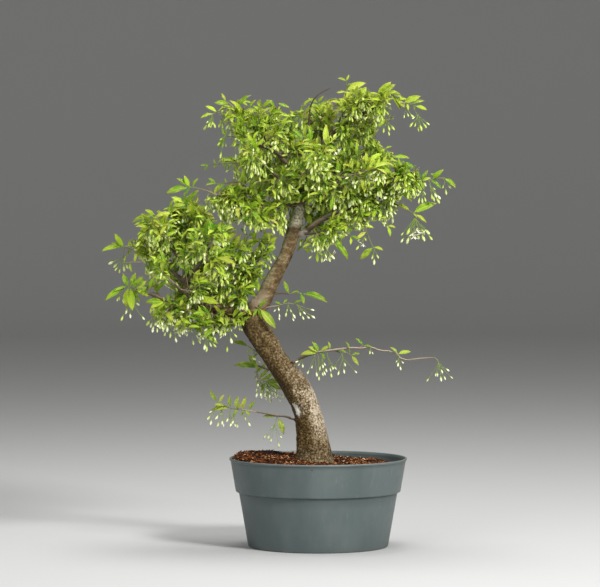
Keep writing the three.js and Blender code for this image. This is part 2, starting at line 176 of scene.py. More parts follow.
def soft_light(name, place, target, size, power, colour=(1, 1, 1)):
    """A square soft box that looks at a point"""
    light = bpy.data.lights.new(name, "AREA")
    light.size = size
    light.energy = power
    light.color = colour
    holder = bpy.data.objects.new(name, light)
    holder.location = place
    holder.rotation_euler = (Vector(target) - Vector(place)).to_track_quat("-Z", "Y").to_euler()
    scene.collection.objects.link(holder)


soft_light("key", (1.7, -2.3, 2.0), (-0.05, 0, 0.35), 0.7, 132, (1, 0.98, 0.94))
soft_light("fill", (-1.7, -3.0, 1.2), (-0.05, 0, 0.35), 1.8, 44)
soft_light("top", (-0.1, 0.3, 2.6), (-0.05, 0, 0.4), 1.2, 42, (1, 0.99, 0.96))


# The pot: one moulded bulb pan of grey-green plastic, a thin shell with a rolled lip, a band round its
# upper third and drain holes in its floor. It is turned on its axis, and the holes are cut after.
MM = 0.001
POT_SIDES = 160
pot_corners = [  # radius, height, and how far before and after the corner its rounding starts
    (0, 0, 0), (60, 0, 0), (100, 0, 2.2), (113.4, 77.4, 0.8), (117.9, 79.2, 1.1), (125.3, 122.9, 0.7),
    (127, 124.4, 0.6), (127, 127, 0.9), (124.7, 127, 0.8), (122.9, 123, 1.2), (115.7, 80.6, 1.2),
    (111.1, 78.1, 1), (97.7, 3, 1.5), (60, 3, 0), (0, 3, 0),
]
HOLES = 6
HOLE_RADIUS = 6
HOLE_CIRCLE = 78  # radius of the circle of holes


def rounded(corners, steps=4):
    """The outline through corners in millimetres, each cut to an arc"""
    outline = []
    for i, (r, z, cut) in enumerate(corners):
        corner = Vector((r, z))
        if not cut:
            outline.append(corner * MM)
            continue
        before, after = (Vector(corners[k][:2]) - corner for k in (i - 1, i + 1))
        start = corner + before.normalized() * min(cut, 0.45 * before.length)
        end = corner + after.normalized() * min(cut, 0.45 * after.length)
        for k in range(steps + 1):
            t = k / steps
            outline.append(((1 - t) ** 2 * start + 2 * t * (1 - t) * corner + t * t * end) * MM)
    return [(p.x, p.y) for p in outline]


def geometry_tree(name, sockets):
    """A geometry tree, the sockets of its named inputs, and its output node"""
    made = bpy.data.node_groups.new(name, "GeometryNodeTree")
    made.interface.new_socket("Geometry", in_out="INPUT", socket_type="NodeSocketGeometry")
    for label, kind in sockets:
        made.interface.new_socket(label, in_out="INPUT", socket_type="NodeSocket" + kind)
    made.interface.new_socket("Geometry", in_out="OUTPUT", socket_type="NodeSocketGeometry")
    return made, made.nodes.new("NodeGroupInput").outputs, made.nodes.new("NodeGroupOutput")


def close_tree(tree, geometry, material, output):
    """Ends a geometry tree in real, finished meshes"""
    real = add(tree, "GeometryNodeRealizeInstances", {"Geometry": geometry})
    done = add(tree, "GeometryNodeSetMaterial", {"Geometry": real.outputs[0], "Material": material})
    tree.links.new(done.outputs[0], output.inputs[0])


def made_by(host, tree, values):
    """Runs a geometry tree on an object and keeps the result as its plain mesh"""
    change = host.modifiers.new(tree.name, "NODES")
    change.node_group = tree
    for item in tree.interface.items_tree:
        if item.in_out == "INPUT" and item.name in values:
            change[item.identifier] = values[item.name]
    graph = bpy.context.evaluated_depsgraph_get()
    mesh = bpy.data.meshes.new_from_object(host.evaluated_get(graph))
    host.modifiers.clear()
    host.data = mesh


def maths(tree, operation, *values):
    """A sum on values or other nodes' outputs"""
    return add(tree, "ShaderNodeMath", dict(enumerate(values)), operation=operation).outputs[0]


def product(tree, first, *others):
    """Values multiplied together"""
    for other in others:
        first = maths(tree, "MULTIPLY", first, other)
    return first


# Mottling, shared by the plastic, the chips, the bark and the leaves: broad patches, and sharp specks
# that sit thicker in some places than in others.
mottle = bpy.data.node_groups.new("mottle", "ShaderNodeTree")
for label, kind in (
    ("Vector", "Vector"), ("Patch Scale", "Float"), ("Speck Scale", "Float"), ("Speck Share", "Float"),
):
    mottle.interface.new_socket(label, in_out="INPUT", socket_type="NodeSocket" + kind)
for label in ("Patches", "Specks", "Height"):
    mottle.interface.new_socket(label, in_out="OUTPUT", socket_type="NodeSocketFloat")
given = mottle.nodes.new("NodeGroupInput").outputs
result = mottle.nodes.new("NodeGroupOutput")
patches = add(mottle, "ShaderNodeTexNoise", {
    "Vector": given["Vector"], "Scale": given["Patch Scale"], "Detail": 4, "Roughness": 0.6,
})
grains = add(mottle, "ShaderNodeTexNoise", {
    "Vector": given["Vector"], "Scale": given["Speck Scale"], "Detail": 3, "Roughness": 0.7,
})
uneven = maths(mottle, "MULTIPLY_ADD", patches.outputs["Fac"], 0.35, grains.outputs["Fac"])
threshold = maths(mottle, "SUBTRACT", 0.92, given["Speck Share"])
specks = add(mottle, "ShaderNodeMapRange", {
    "Value": uneven, "From Min": threshold, "From Max": maths(mottle, "ADD", threshold, 0.1),
})
mottle.links.new(patches.outputs["Fac"], result.inputs["Patches"])
mottle.links.new(specks.outputs["Result"], result.inputs["Specks"])
mottle.links.new(grains.outputs["Fac"], result.inputs["Height"])


def object_place(tree):
    """Where a point lies in the object's own frame"""
    return add(tree, "ShaderNodeTexCoord").outputs["Object"]


def mottled(tree, patch_scale, speck_scale, speck_share, vector=None):
    """The mottling group's outputs in a material, on object coordinates unless told otherwise"""
    return add(tree, "ShaderNodeGroup", {
        "Vector": vector or object_place(tree), "Patch Scale": patch_scale, "Speck Scale": speck_scale,
        "Speck Share": speck_share,
    }, node_tree=mottle).outputs


def blended(tree, factor, first, second):
    """Two colours mixed by a factor"""
    node = tree.nodes.new("ShaderNodeMix")
    node.data_type = "RGBA"
    for index, value in ((0, factor), (6, first), (7, second)):
        if isinstance(value, bpy.types.NodeSocket):
            tree.links.new(value, node.inputs[index])
        elif index:
            node.inputs[index].default_value = (*value, 1)
        else:
            node.inputs[index].default_value = value
    return node.outputs[2]


def scaled(tree, value, low, high, to_low=0.0, to_high=1.0):
    """A value taken from one range to another, and clamped"""
    return add(tree, "ShaderNodeMapRange", {
        "Value": value, "From Min": low, "From Max": high, "To Min": to_low, "To Max": to_high,
    }).outputs["Result"]


def split(tree, vector):
    """The parts of a vector, by their letters"""
    return add(tree, "ShaderNodeSeparateXYZ", {"Vector": vector}).outputs


def raised(tree, shader, strength, depth, height):
    """Bumps on a shader's surface"""
    bumps = add(tree, "ShaderNodeBump", {"Strength": strength, "Distance": depth, "Height": height})
    tree.links.new(bumps.outputs[0], shader.inputs["Normal"])


plastic, tree, shader = new_material("pot_plastic", {})
place = object_place(tree)
height = split(tree, place)["Z"]
streaks = add(tree, "ShaderNodeMapping", {"Vector": place, "Scale": (1, 1, 0.22)}).outputs[0]
wear = mottled(tree, 14, 160, 0.12, streaks)
dust = mottled(tree, 26, 620, 0.2)
cloudy = blended(tree, scaled(tree, wear["Patches"], 0.36, 0.64), (0.064, 0.088, 0.089), (0.09, 0.12, 0.12))
scuffed = blended(tree, scaled(tree, wear["Specks"], 0, 1, 0, 0.3), cloudy, (0.17, 0.195, 0.188))
dusty = blended(tree, scaled(tree, dust["Patches"], 0.45, 0.8, 0, 0.35), scuffed, (0.14, 0.15, 0.14))
# The pot is darker towards its foot.
darker_foot_and_painted_shade = blended(tree, scaled(tree, height, 0, 0.012, 0.4, 0), dusty, (0.075, 0.085, 0.08))
# Painted shade under the band and under the lip, deepest just below each overhang.
for low, high, share in ((0.062, 0.0772, 0.5), (0.1185, 0.1226, 0.45)):  # under the band and the lip
    thickens = scaled(tree, height, low, high, 0, share)
    ends = scaled(tree, height, high + 0.0004, high + 0.0012, 1, 0)
    darker_foot_and_painted_shade = blended(tree, product(tree, thickens, ends), darker_foot_and_painted_shade, (0.03, 0.042, 0.042))
# A painted highlight runs round the top of the lip.
lip_painted_highlight = blended(tree, scaled(tree, height, 0.1256, 0.1268, 0, 0.5), darker_foot_and_painted_shade, (0.24, 0.27, 0.265))
tree.links.new(lip_painted_highlight, shader.inputs["Base Color"])
tree.links.new(scaled(tree, dust["Patches"], 0.3, 0.7, 0.4, 0.62), shader.inputs["Roughness"])
raised(tree, shader, 0.12, 0.0006, wear["Height"])

drill, given, result = geometry_tree("drain_holes", [
    ("Count", "Int"), ("Circle Radius", "Float"), ("Hole Radius", "Float"), ("Depth", "Float"),
])
centres = add(drill, "GeometryNodeMeshCircle", {
    "Vertices": given["Count"], "Radius": given["Circle Radius"],
})
bit = add(drill, "GeometryNodeMeshCylinder", {
    "Vertices": 24, "Radius": given["Hole Radius"], "Depth": given["Depth"],
})
bits = add(drill, "GeometryNodeInstanceOnPoints", {
    "Points": centres.outputs[0], "Instance": bit.outputs[0],
})
half_turn = add(drill, "GeometryNodeTransform", {
    "Geometry": bits.outputs[0], "Rotation": (0, 0, math.pi / HOLES),
})
bored = add(drill, "GeometryNodeMeshBoolean", {
    "Mesh 1": given["Geometry"], "Mesh 2": half_turn.outputs[0],
}, operation="DIFFERENCE", solver="EXACT")
close_tree(drill, bored.outputs[0], plastic, result)

pot = turned("pot_shell", rounded(pot_corners), POT_SIDES)
made_by(pot, drill, {
    "Count": HOLES, "Circle Radius": HOLE_CIRCLE * MM, "Hole Radius": HOLE_RADIUS * MM, "Depth": 12 * MM,
})
pot.data.shade_smooth()
pot.data.set_sharp_from_angle(angle=math.radians(40))
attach(pot, "root")
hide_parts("pot")


# The chips: a loose fill of coarse reddish-brown bark chips and fibres that follows the pot's inner
# wall. It heaps up at the back left and lies lower at the right, where the wall shows.
SOIL_SIDES = 96
soil_wall = [(97.2, 3.4), (110.7, 78), (115, 81.5)]  # radius and height down the pot's inner wall
EDGE_TOP = 121.8
EDGE_RADIUS = 122
WALL_FOOT = (115.2, 80.5)  # radius and height where the inner wall of the upper band starts
WALL_LEAN = 0.1705  # how far that wall leans out for each millimetre up


def soil_height(x, y):
    """The height of the chips' surface in millimetres"""
    lumps = math.sin(x / 11 + 1.3) * math.cos(y / 9) + math.sin(y / 14 - x / 19)
    heap = math.exp(-((x + 76) ** 2 + (y - 34) ** 2) / 1700)
    return 121.6 - 6.4 * x / 110 + 1.1 * lumps + 5 * heap


soil_points, rings = [(0, 0, soil_wall[0][1] * MM)], [[0]]

# The row without a radius is the edge, where the chips meet the wall.
for radius, height in [*soil_wall, (None, None), *((r, None) for r in range(117, 2, -6))]:
    rings.append([])
    for j in range(SOIL_SIDES):
        a = 2 * math.pi * j / SOIL_SIDES
        out = Vector((math.cos(a), math.sin(a)))
        r, z = radius, height
        if radius is None:
            z = min(soil_height(*(out * EDGE_RADIUS)), EDGE_TOP)
            r = WALL_FOOT[0] + (z - WALL_FOOT[1]) * WALL_LEAN
        if z is None:
            z = soil_height(*(out * r)) + 0.8 * noise.noise(Vector((out.x * r, out.y * r, 3)) / 5)
        rings[-1].append(len(soil_points))
        soil_points.append((out.x * r * MM, out.y * r * MM, z * MM))
rings.append([len(soil_points)])
soil_points.append((0, 0, soil_height(0, 0) * MM))
soil = mesh_object("soil_chips", soil_points, ring_faces(rings, SOIL_SIDES))


def marked(tree, name):
    """The value of an attribute in a material"""
    return add(tree, "ShaderNodeAttribute", attribute_name=name).outputs["Fac"]


def distance(tree, place, point):
    """How far a place lies from a fixed point"""
    return add(tree, "ShaderNodeVectorMath", {0: place, 1: point}, operation="DISTANCE").outputs["Value"]


chip_finish, tree, shader = new_material("bark_chips", {"Roughness": 0.9, "Specular IOR Level": 0.2})
grain = mottled(tree, 70, 900, 0.2)
wood_colour = ramp(tree, marked(tree, "tint"), [
    (0.0, (0.012, 0.004, 0.001)), (0.38, (0.03, 0.009, 0.003)), (0.6, (0.13, 0.037, 0.009)),
    (0.82, (0.31, 0.094, 0.022)), (0.94, (0.55, 0.22, 0.07)), (1.0, (0.75, 0.56, 0.32)),
])
# Painted shade darkens the chips where their grain dips into pits.
painted_pit_shade = scaled(tree, grain["Height"], 0.35, 0.65, 0.55, 0)
tree.links.new(blended(tree, painted_pit_shade, wood_colour, (0.03, 0.012, 0.007)), shader.inputs["Base Color"])
raised(tree, shader, 0.6, 0.0008, grain["Height"])


def shape_collection(name, makers):
    """A collection of shapes for instances, kept out of the scene"""
    shapes = bpy.data.collections.new(name)
    for i, mesh in enumerate(makers):
        shapes.objects.link(bpy.data.objects.new(f"{name}_{i}", mesh))
    return shapes


def chip_mesh(i, size):
    """One rough chip: a lump pulled out of true"""
    draw = random.Random(40 + i)
    shape = bmesh.new()
    bmesh.ops.create_icosphere(shape, subdivisions=1, radius=1)
    for vertex in shape.verts:
        vertex.co *= draw.uniform(0.72, 1.25)
        vertex.co = Vector(a * b for a, b in zip(vertex.co, size)) * 0.5 * MM
    mesh = bpy.data.meshes.new(f"chip_{i}")
    shape.to_mesh(mesh)
    return mesh


def random_size(tree, given):
    """A random value between a geometry tree's inputs Smallest and Largest"""
    node = add(tree, "FunctionNodeRandomValue", {"Seed": given["Seed"]}, data_type="FLOAT")
    limits = {"Min_001": given["Smallest"], "Max_001": given["Largest"]}
    for socket in node.inputs:
        if socket.identifier in limits:
            tree.links.new(limits[socket.identifier], socket)
    return node.outputs[1]


chips = shape_collection("chip_shapes", [
    chip_mesh(i, size) for i, size in enumerate([
        (7.5, 4.2, 1.8), (5.4, 3.8, 2.4), (9.5, 2.2, 1.2), (4.2, 3.2, 2.2), (12, 1.3, 0.9), (6.4, 5.2, 1.6),
    ])
])

scatter, given, result = geometry_tree("chips_on_the_fill", [
    ("Density", "Float"), ("Smallest", "Float"), ("Largest", "Float"), ("Tilt", "Float"), ("Seed", "Int"),
    ("Shapes", "Collection"),
])
facing = split(scatter, add(scatter, "GeometryNodeInputNormal").outputs[0])
level = add(scatter, "FunctionNodeCompare", {0: facing["Z"], 1: 0.3}, operation="GREATER_THAN")
spots = add(scatter, "GeometryNodeDistributePointsOnFaces", {
    "Mesh": given["Geometry"], "Selection": level.outputs[0], "Density": given["Density"],
    "Seed": given["Seed"],
})
back_tilt = maths(scatter, "MULTIPLY", given["Tilt"], -1)
least = add(scatter, "ShaderNodeCombineXYZ", {"X": back_tilt, "Y": back_tilt, "Z": 0})
most = add(scatter, "ShaderNodeCombineXYZ", {
    "X": given["Tilt"], "Y": given["Tilt"], "Z": 2 * math.pi,
})
tumble = add(scatter, "FunctionNodeRandomValue", {
    0: least.outputs[0], 1: most.outputs[0], "Seed": given["Seed"],
}, data_type="FLOAT_VECTOR")
size = random_size(scatter, given)
shade = add(scatter, "FunctionNodeRandomValue", {"Seed": 5}, data_type="FLOAT").outputs[1]
hollow_far = distance(scatter, add(scatter, "GeometryNodeInputPosition").outputs[0], (-0.072, 0.052, 0.13))
shade_here = product(scatter, shade, scaled(scatter, hollow_far, 0.012, 0.03, 0.12, 1))
tinted = add(scatter, "GeometryNodeStoreNamedAttribute", {
    "Geometry": spots.outputs["Points"], "Name": "tint", "Value": shade_here,
})
kinds = add(scatter, "GeometryNodeCollectionInfo", {
    "Collection": given["Shapes"], "Separate Children": True, "Reset Children": True,
})
laid = add(scatter, "GeometryNodeInstanceOnPoints", {
    "Points": tinted.outputs[0], "Instance": kinds.outputs[0], "Pick Instance": True,
    "Rotation": tumble.outputs[0], "Scale": size,
})
both = add(scatter, "GeometryNodeJoinGeometry")
scatter.links.new(laid.outputs[0], both.inputs[0])
scatter.links.new(given["Geometry"], both.inputs[0])
close_tree(scatter, both.outputs[0], chip_finish, result)
made_by(soil, scatter, {
    "Density": 115000.0, "Smallest": 0.6, "Largest": 1.25, "Tilt": 0.75, "Seed": 3, "Shapes": chips,
})
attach(soil, "root")
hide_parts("soil")


# The wood: one living trunk with its limbs. The trunk leans left out of the chips, forks at its elbow
# and rises again to the right. Its stems are drawn as tubes, grown together into one skin, and the
# bark is raised on that.
SKIN = 1.22 * MM  # size of the skin's mesh
TRUNK_SIDES = 30
LIMB_SIDES = 12
STEP = 3  # length of a limb's straight stretches
KNOTS = 17  # from one knot of a limb to the next
trunk_line = [  # x, y, z and radius
    (-4.5, 9, 112, 29), (-4.5, 9, 119, 28.4), (-4.4, 9, 123, 27), (-4.6, 9, 130.6, 25.4), (-6, 8.6, 145, 24),
    (-9.4, 8, 165, 21.7), (-18.6, 6, 200, 18.9), (-27.5, 4, 219, 19.8), (-36, 2.5, 234, 19.8),
    (-50.9, 1, 254, 17.2), (-60.7, -1, 267, 15.9), (-70, -3, 283, 16.8), (-84, -5, 306, 18),
    (-92.5, -6, 322, 17.2), (-88.5, -6, 339, 14.2), (-79, -5, 351, 12.6), (-71, -4, 368.6, 11.3),
    (-60, -3, 391.5, 10.4), (-47.8, -1, 414, 9.2), (-40, 0, 436, 9.9), (-34.6, 0, 454, 9.2),
    (-28.9, 1, 470, 8.2), (-25.6, 2, 484, 6.6),
]
limbs = {  # thickness at both ends, the route, and the side shoots: how far along, and which way
    "pad_leader": ((10, 2), [
        (-92, -6, 326), (-123, -9, 336), (-152, -12, 342), (-173, -12, 346), (-184, -10, 355),
        (-187, -5, 372), (-190, 0, 396), (-192, 4, 421), (-186, 6, 447), (-176, 4, 462),
    ], [(0.3, (0.1, -1, -0.7)), (0.8, (0.8, 0.9, 0.3))]),
    "pad_far_left": ((5.5, 1.7), [
        (-173, -12, 346), (-194, -22, 348), (-215, -30, 352), (-238, -38, 363), (-256, -42, 366),
    ], [(0.45, (-0.1, -1, -0.4)), (0.62, (-0.3, 0.9, 0.5))]),
    "pad_left": ((4, 1.6), [(-187, -4, 377), (-212, 5, 393), (-234, 12, 410), (-252, 16, 422)], []),
    "pad_left_top": ((3.6, 1.6), [(-190, 1, 403), (-206, -12, 424), (-220, -20, 443), (-230, -26, 452)], []),
    "pad_top": ((3.4, 1.6), [(-192, 5, 424), (-199, 20, 445), (-204, 32, 464)], []),
    "pad_inner": ((3.6, 1.6), [(-152, -12, 342), (-145, -20, 365), (-138, -26, 389), (-134, -26, 408)], []),
    "pad_right": ((3.6, 1.6), [(-123, -9, 336), (-117, -2, 357), (-110, 8, 379), (-101, 14, 398)], []),
    "pad_front_left": ((4, 1.6), [
        (-161, -12, 345), (-175, -38, 354), (-192, -62, 368), (-204, -78, 380),
    ], []),
    "pad_rear_left": ((4, 1.6), [(-173, -12, 346), (-184, 20, 358), (-202, 48, 375), (-216, 68, 390)], []),
    "pad_front": ((3.6, 1.6), [(-187, -4, 377), (-173, -34, 397), (-161, -58, 418), (-154, -74, 430)], []),
    "pad_rear": ((3.4, 1.6), [(-189, 2, 407), (-176, 30, 420), (-164, 54, 432)], []),
    "pad_low": ((4, 1.6), [(-94, -6, 322), (-117, -14, 320), (-142, -26, 317), (-162, -34, 314)], []),
    "pad_low_left": ((3, 1.6), [(-191, -22, 348), (-203, -38, 342), (-215, -52, 335)], []),
    "crown_leader": ((6.2, 1.8), [
        (-25.8, 2, 482), (-27, 2, 497), (-25, 4, 515), (-18, 4, 535), (-6, 2, 555), (8, 0, 574),
        (22, -2, 592), (30, -3, 609),
    ], [(0.5, (-1, -0.4, 0.5)), (0.84, (-0.8, 0.6, 0.4))]),
    "crown_top_right": ((3.6, 1.6), [
        (22, -2, 593), (38, -12, 605), (55, -20, 614), (75, -26, 624), (90, -30, 629),
    ], [(0.5, (0.1, -0.9, 0.6))]),
    "crown_right_rear": ((3.4, 1.6), [(12, 0, 580), (45, 12, 594), (77, 18, 606), (98, 20, 610)], [
        (0.6, (0.4, 0.7, -0.6)),
    ]),
    "crown_right": ((5, 1.6), [
        (-26, 1, 490), (-15, -2, 505), (-3, -6, 517), (12, -10, 530), (38, -14, 543), (64, -18, 549),
    ], []),
    "crown_far_right": ((3.8, 1.6), [
        (12, -10, 530), (38, -24, 528), (73, -34, 527), (109, -40, 530), (132, -42, 535),
    ], [(0.6, (0.2, 0.8, 0.5))]),
    "low_right": ((4.6, 1.6), [
        (-32, 0, 448), (-22, -4, 448), (-7, -8, 460), (10, -12, 471), (38, -18, 482), (70, -24, 488),
        (92, -27, 488),
    ], [(0.55, (0.2, -0.8, 0.4)), (0.76, (0.5, 0.5, -0.7))]),
    "low_right_front": ((2.6, 1.5), [(-28, -3, 447), (-12, -18, 448), (4, -30, 450)], []),
    "crown_left_low": ((4, 1.6), [
        (-27, 2, 488), (-43, -8, 491), (-69, -20, 490), (-97, -30, 494), (-128, -38, 500), (-144, -41, 503),
    ], [(0.45, (-0.3, -0.8, -0.5)), (0.7, (-0.2, 0.6, 0.8))]),
    "crown_left": ((4, 1.6), [
        (-25, 4, 515), (-46, 14, 521), (-72, 24, 532), (-98, 32, 541), (-114, 36, 545),
    ], [(0.6, (-0.2, 0.9, -0.3))]),
    "crown_left_high": ((4, 1.6), [
        (-22, 4, 527), (-40, -6, 544), (-60, -16, 564), (-80, -22, 587), (-96, -26, 602),
    ], []),
    "crown_left_front": ((2.8, 1.5), [(-60, -16, 564), (-78, -34, 572), (-96, -46, 578)], []),
    "crown_rear_high": ((3.4, 1.6), [(-18, 4, 535), (-29, 18, 560), (-40, 28, 580), (-46, 34, 594)], []),
    "bare_twig": ((2.2, 1.0), [
        (-3, 2, 560), (-12, -10, 588), (-13, -14, 617), (-7, -16, 637), (2, -16, 647), (18, -15, 655),
    ], []),
    "crown_top_rear": ((3, 1.6), [(8, 0, 574), (4, 20, 592), (2, 36, 606)], []),
    "crown_front": ((3.6, 1.6), [(-25, 4, 515), (-17, -28, 530), (-9, -58, 543), (-3, -78, 551)], []),
    "crown_rear": ((3.6, 1.6), [(-22, 4, 524), (-12, 34, 538), (-2, 60, 551), (4, 78, 560)], []),
    "crown_front_left": ((3.4, 1.6), [(-26, 3, 501), (-43, -26, 514), (-60, -52, 530), (-72, -68, 542)], []),
    "crown_rear_left": ((3.4, 1.6), [(-25, 4, 513), (-41, 32, 528), (-58, 58, 544), (-70, 74, 555)], []),
    "crown_front_right": ((3.4, 1.6), [(-3, -6, 517), (18, -36, 523), (40, -60, 529), (54, -74, 533)], []),
    "crown_rear_right": ((3.4, 1.6), [(12, -10, 530), (36, 22, 543), (58, 48, 555), (68, 60, 560)], []),
    "low_right_rear": ((3, 1.6), [(10, -12, 471), (28, 18, 482), (46, 40, 489)], []),
    "long_right_twig": ((2.1, 1.2), [
        (-44, 0, 261), (-37, -9, 263), (-26, -13, 270), (-11, -16, 276), (0, -19, 279), (10, -21, 281),
        (24, -22, 283), (45, -23, 285), (60, -24, 285), (74, -24, 286), (88, -25, 282), (99, -26, 281),
        (112, -26, 277), (116, -26, 272), (123, -26, 269), (131, -26, 268),
    ], []),
    "low_left_twig": ((1.9, 1.4), [
        (-24, 6, 174), (-37, 3, 182), (-55, 0, 187), (-76, -5, 191), (-88, -8, 193),
    ], []),
    "rear_left_twig": ((2.4, 1.4), [(-60, 2, 250), (-67, 16, 252), (-76, 24, 253), (-86, 30, 257)], []),
    "mid_right_twig": ((1.7, 1.2), [(-68, 0, 362), (-56, 6, 362), (-42, 11, 361)], []),
}


def curve_through(points, parts=8):
    """Points along a smooth curve through the given ones"""
    ends = [2 * points[0] - points[1], *points, 2 * points[-1] - points[-2]]
    line = []
    for a, b, c, d in zip(ends, ends[1:], ends[2:], ends[3:]):
        ab, bc, cd = (math.sqrt((q - p).length) for p, q in ((a, b), (b, c), (c, d)))
        leave = ((b - a) / ab - (c - a) / (ab + bc) + (c - b) / bc) * bc
        reach = ((c - b) / bc - (d - b) / (bc + cd) + (d - c) / cd) * bc
        for i in range(parts):
            t = i / parts
            line.append(
                b + leave * t + (3 * (c - b) - 2 * leave - reach) * t * t
                + (2 * (b - c) + leave + reach) * t ** 3
            )
    line.append(points[-1])
    return line


def spaced(line, step):
    """The line again, with even steps of about this length"""
    lengths = [(q - p).length for p, q in zip(line, line[1:])]
    count = max(2, round(sum(lengths) / step))
    stride = sum(lengths) / count
    even, travelled, i = [line[0].copy()], 0.0, 0
    for k in range(1, count):
        while travelled + lengths[i] < k * stride:
            travelled += lengths[i]
            i += 1
        even.append(line[i].lerp(line[i + 1], (k * stride - travelled) / lengths[i]))
    even.append(line[-1].copy())
    return even


def tube_faces(faces, first, rows, sides):
    """Adds the faces of a closed tube, whose points start at this number, to a mesh's faces"""
    for i in range(rows - 1):
        for j in range(sides):
            a, b = first + i * sides + j, first + i * sides + (j + 1) % sides
            faces.append((a, b, b + sides, a + sides))
    last = first + (rows - 1) * sides
    faces.append(tuple(range(first + sides - 1, first - 1, -1)))
    faces.append(tuple(range(last, last + sides)))


def add_tube(points, faces, line, radii, sides):
    """Adds a closed tube round a line to a mesh's points and faces"""
    first = len(points)
    ahead = (line[1] - line[0]).normalized()
    side = ahead.orthogonal().normalized()
    for i, (centre, radius) in enumerate(zip(line, radii)):
        turn = (line[min(i + 1, len(line) - 1)] - line[max(i - 1, 0)]).normalized()
        side = (side - turn * side.dot(turn)).normalized()
        rise = turn.cross(side)
        for j in range(sides):
            a = 2 * math.pi * j / sides
            points.append(centre + (side * math.cos(a) + rise * math.sin(a)) * radius)
    tube_faces(faces, first, len(line), sides)


def mix(a, b, t):
    """The value at a share of the way from a to b"""
    return a + (b - a) * t


def set_marks(mesh, name, values, kind="FLOAT"):
    """Keeps one value for each point of a mesh"""
    field = "vector" if kind == "FLOAT_VECTOR" else "value"
    mesh.attributes.new(name, kind, "POINT").data.foreach_set(field, values)


def soft_patches(tree, scale):
    """Soft and broad noise on object coordinates"""
    return add(tree, "ShaderNodeTexNoise", {
        "Vector": object_place(tree), "Scale": scale, "Detail": 1,
    }).outputs["Fac"]


wood_points, wood_faces, wood_girths = [], [], []
trunk_rows = curve_through([Vector(p) for p in trunk_line], 6)
for i, (x, y, z, r) in enumerate(trunk_rows):
    low, high = trunk_rows[max(i - 1, 0)], trunk_rows[min(i + 1, len(trunk_rows) - 1)]
    lean = math.atan2(low[0] - high[0], high[2] - low[2]) if i else 0
    flare = max(0, 1 - (z - 112) / 34)
    wood_girths.append((Vector((x, y, z)) * MM, r))
    for j in range(TRUNK_SIDES):
        a = 2 * math.pi * j / TRUNK_SIDES
        ripple = 1 + 0.045 * math.sin(3 * a + z / 31) + 0.03 * math.sin(5 * a - z / 17)
        ripple += 0.06 * flare * math.sin(4 * a + 0.9)
        across, deep = r * ripple * math.cos(a), r * ripple * math.sin(a)
        wood_points.append(Vector((x + across * math.cos(lean), y + deep, z + across * math.sin(lean))) * MM)
tube_faces(wood_faces, 0, len(trunk_rows), TRUNK_SIDES)

limb_lines = {}
noise.seed_set(8)
for i, (name, (ends, route, shoots)) in enumerate(limbs.items()):
    line = spaced(curve_through([Vector(p) for p in route]), STEP)
    radii = []
    for k, point in enumerate(line):
        t = k / (len(line) - 1)
        knot = math.exp(-(((k * STEP + 5 * i) % KNOTS - 8) / 2.2) ** 2)
        collar = 0.8 * math.exp(-k * STEP / 7)
        radii.append(mix(*ends, t) * (1 + 0.1 * knot) + collar)
        sway = noise.noise_vector(Vector((k * 0.16, i * 7.3, 1.5)))
        point += sway * 1.3 * math.sin(math.pi * t)
    limb_lines[name] = (line, radii)
    add_tube(wood_points, wood_faces, [p * MM for p in line], [r * MM for r in radii], LIMB_SIDES)
    wood_girths.extend((p * MM, r) for p, r in zip(line, radii))
    for t, way in shoots:
        heading = Vector(way).normalized()
        root = line[round(t * (len(line) - 1))]
        stub = [root + heading * s for s in (0, 2, 4, mix(*ends, t) + 6)]
        add_tube(wood_points, wood_faces, [p * MM for p in stub], [r * MM for r in (2.3, 2, 1.8, 1.6)], 8)

wood = mesh_object("living_wood", wood_points, wood_faces)
skin = wood.modifiers.new("skin", "REMESH")
skin.mode = "VOXEL"
skin.voxel_size = SKIN
ease = wood.modifiers.new("ease", "SMOOTH")
ease.factor = 0.5
ease.iterations = 2
graph = bpy.context.evaluated_depsgraph_get()
wood.data = bpy.data.meshes.new_from_object(wood.evaluated_get(graph))
wood.modifiers.clear()

girths = kdtree.KDTree(len(wood_girths))
trunk_girths = kdtree.KDTree(len(trunk_rows))
for i, (point, radius) in enumerate(wood_girths):
    girths.insert(point, i)
    if i < len(trunk_rows):
        trunk_girths.insert(point, i)
girths.balance()
trunk_girths.balance()
PLATES = 0.8  # how far the bark's plates stand out on thick wood
SMOOTHER = 0.6  # the share of that above the elbow
GRAIN = 0.22
SCAR = Vector((-30, -9, 197)) * MM
SCAR_SIZE = 5 * MM
SCAR_DEPTH = 1.6
shifted, thickness = [], []
for vertex in wood.data.vertices:
    at = vertex.co
    _, near, far = trunk_girths.find(at)
    if far > wood_girths[near][1] * 1.25 * MM:
        near = girths.find(at)[1]
    radius = wood_girths[near][1]
    thickness.append(radius / 20)
    coarse = noise.noise(at / (9 * MM)) + 0.55 * noise.noise(at / (4.2 * MM))
    lift = min(radius, 18) / 18 * PLATES * coarse * (SMOOTHER if at.z > 0.35 else 1)
    lift += min(radius, 12) / 12 * GRAIN * noise.noise(at / (2.1 * MM))
    hollow = math.exp(-((at - SCAR).length / SCAR_SIZE) ** 2)
    shifted.append(at + vertex.normal * (lift - SCAR_DEPTH * hollow) * MM)
for vertex, at in zip(wood.data.vertices, shifted):
    vertex.co = at
set_marks(wood.data, "girth", thickness)
wood.data.shade_smooth()

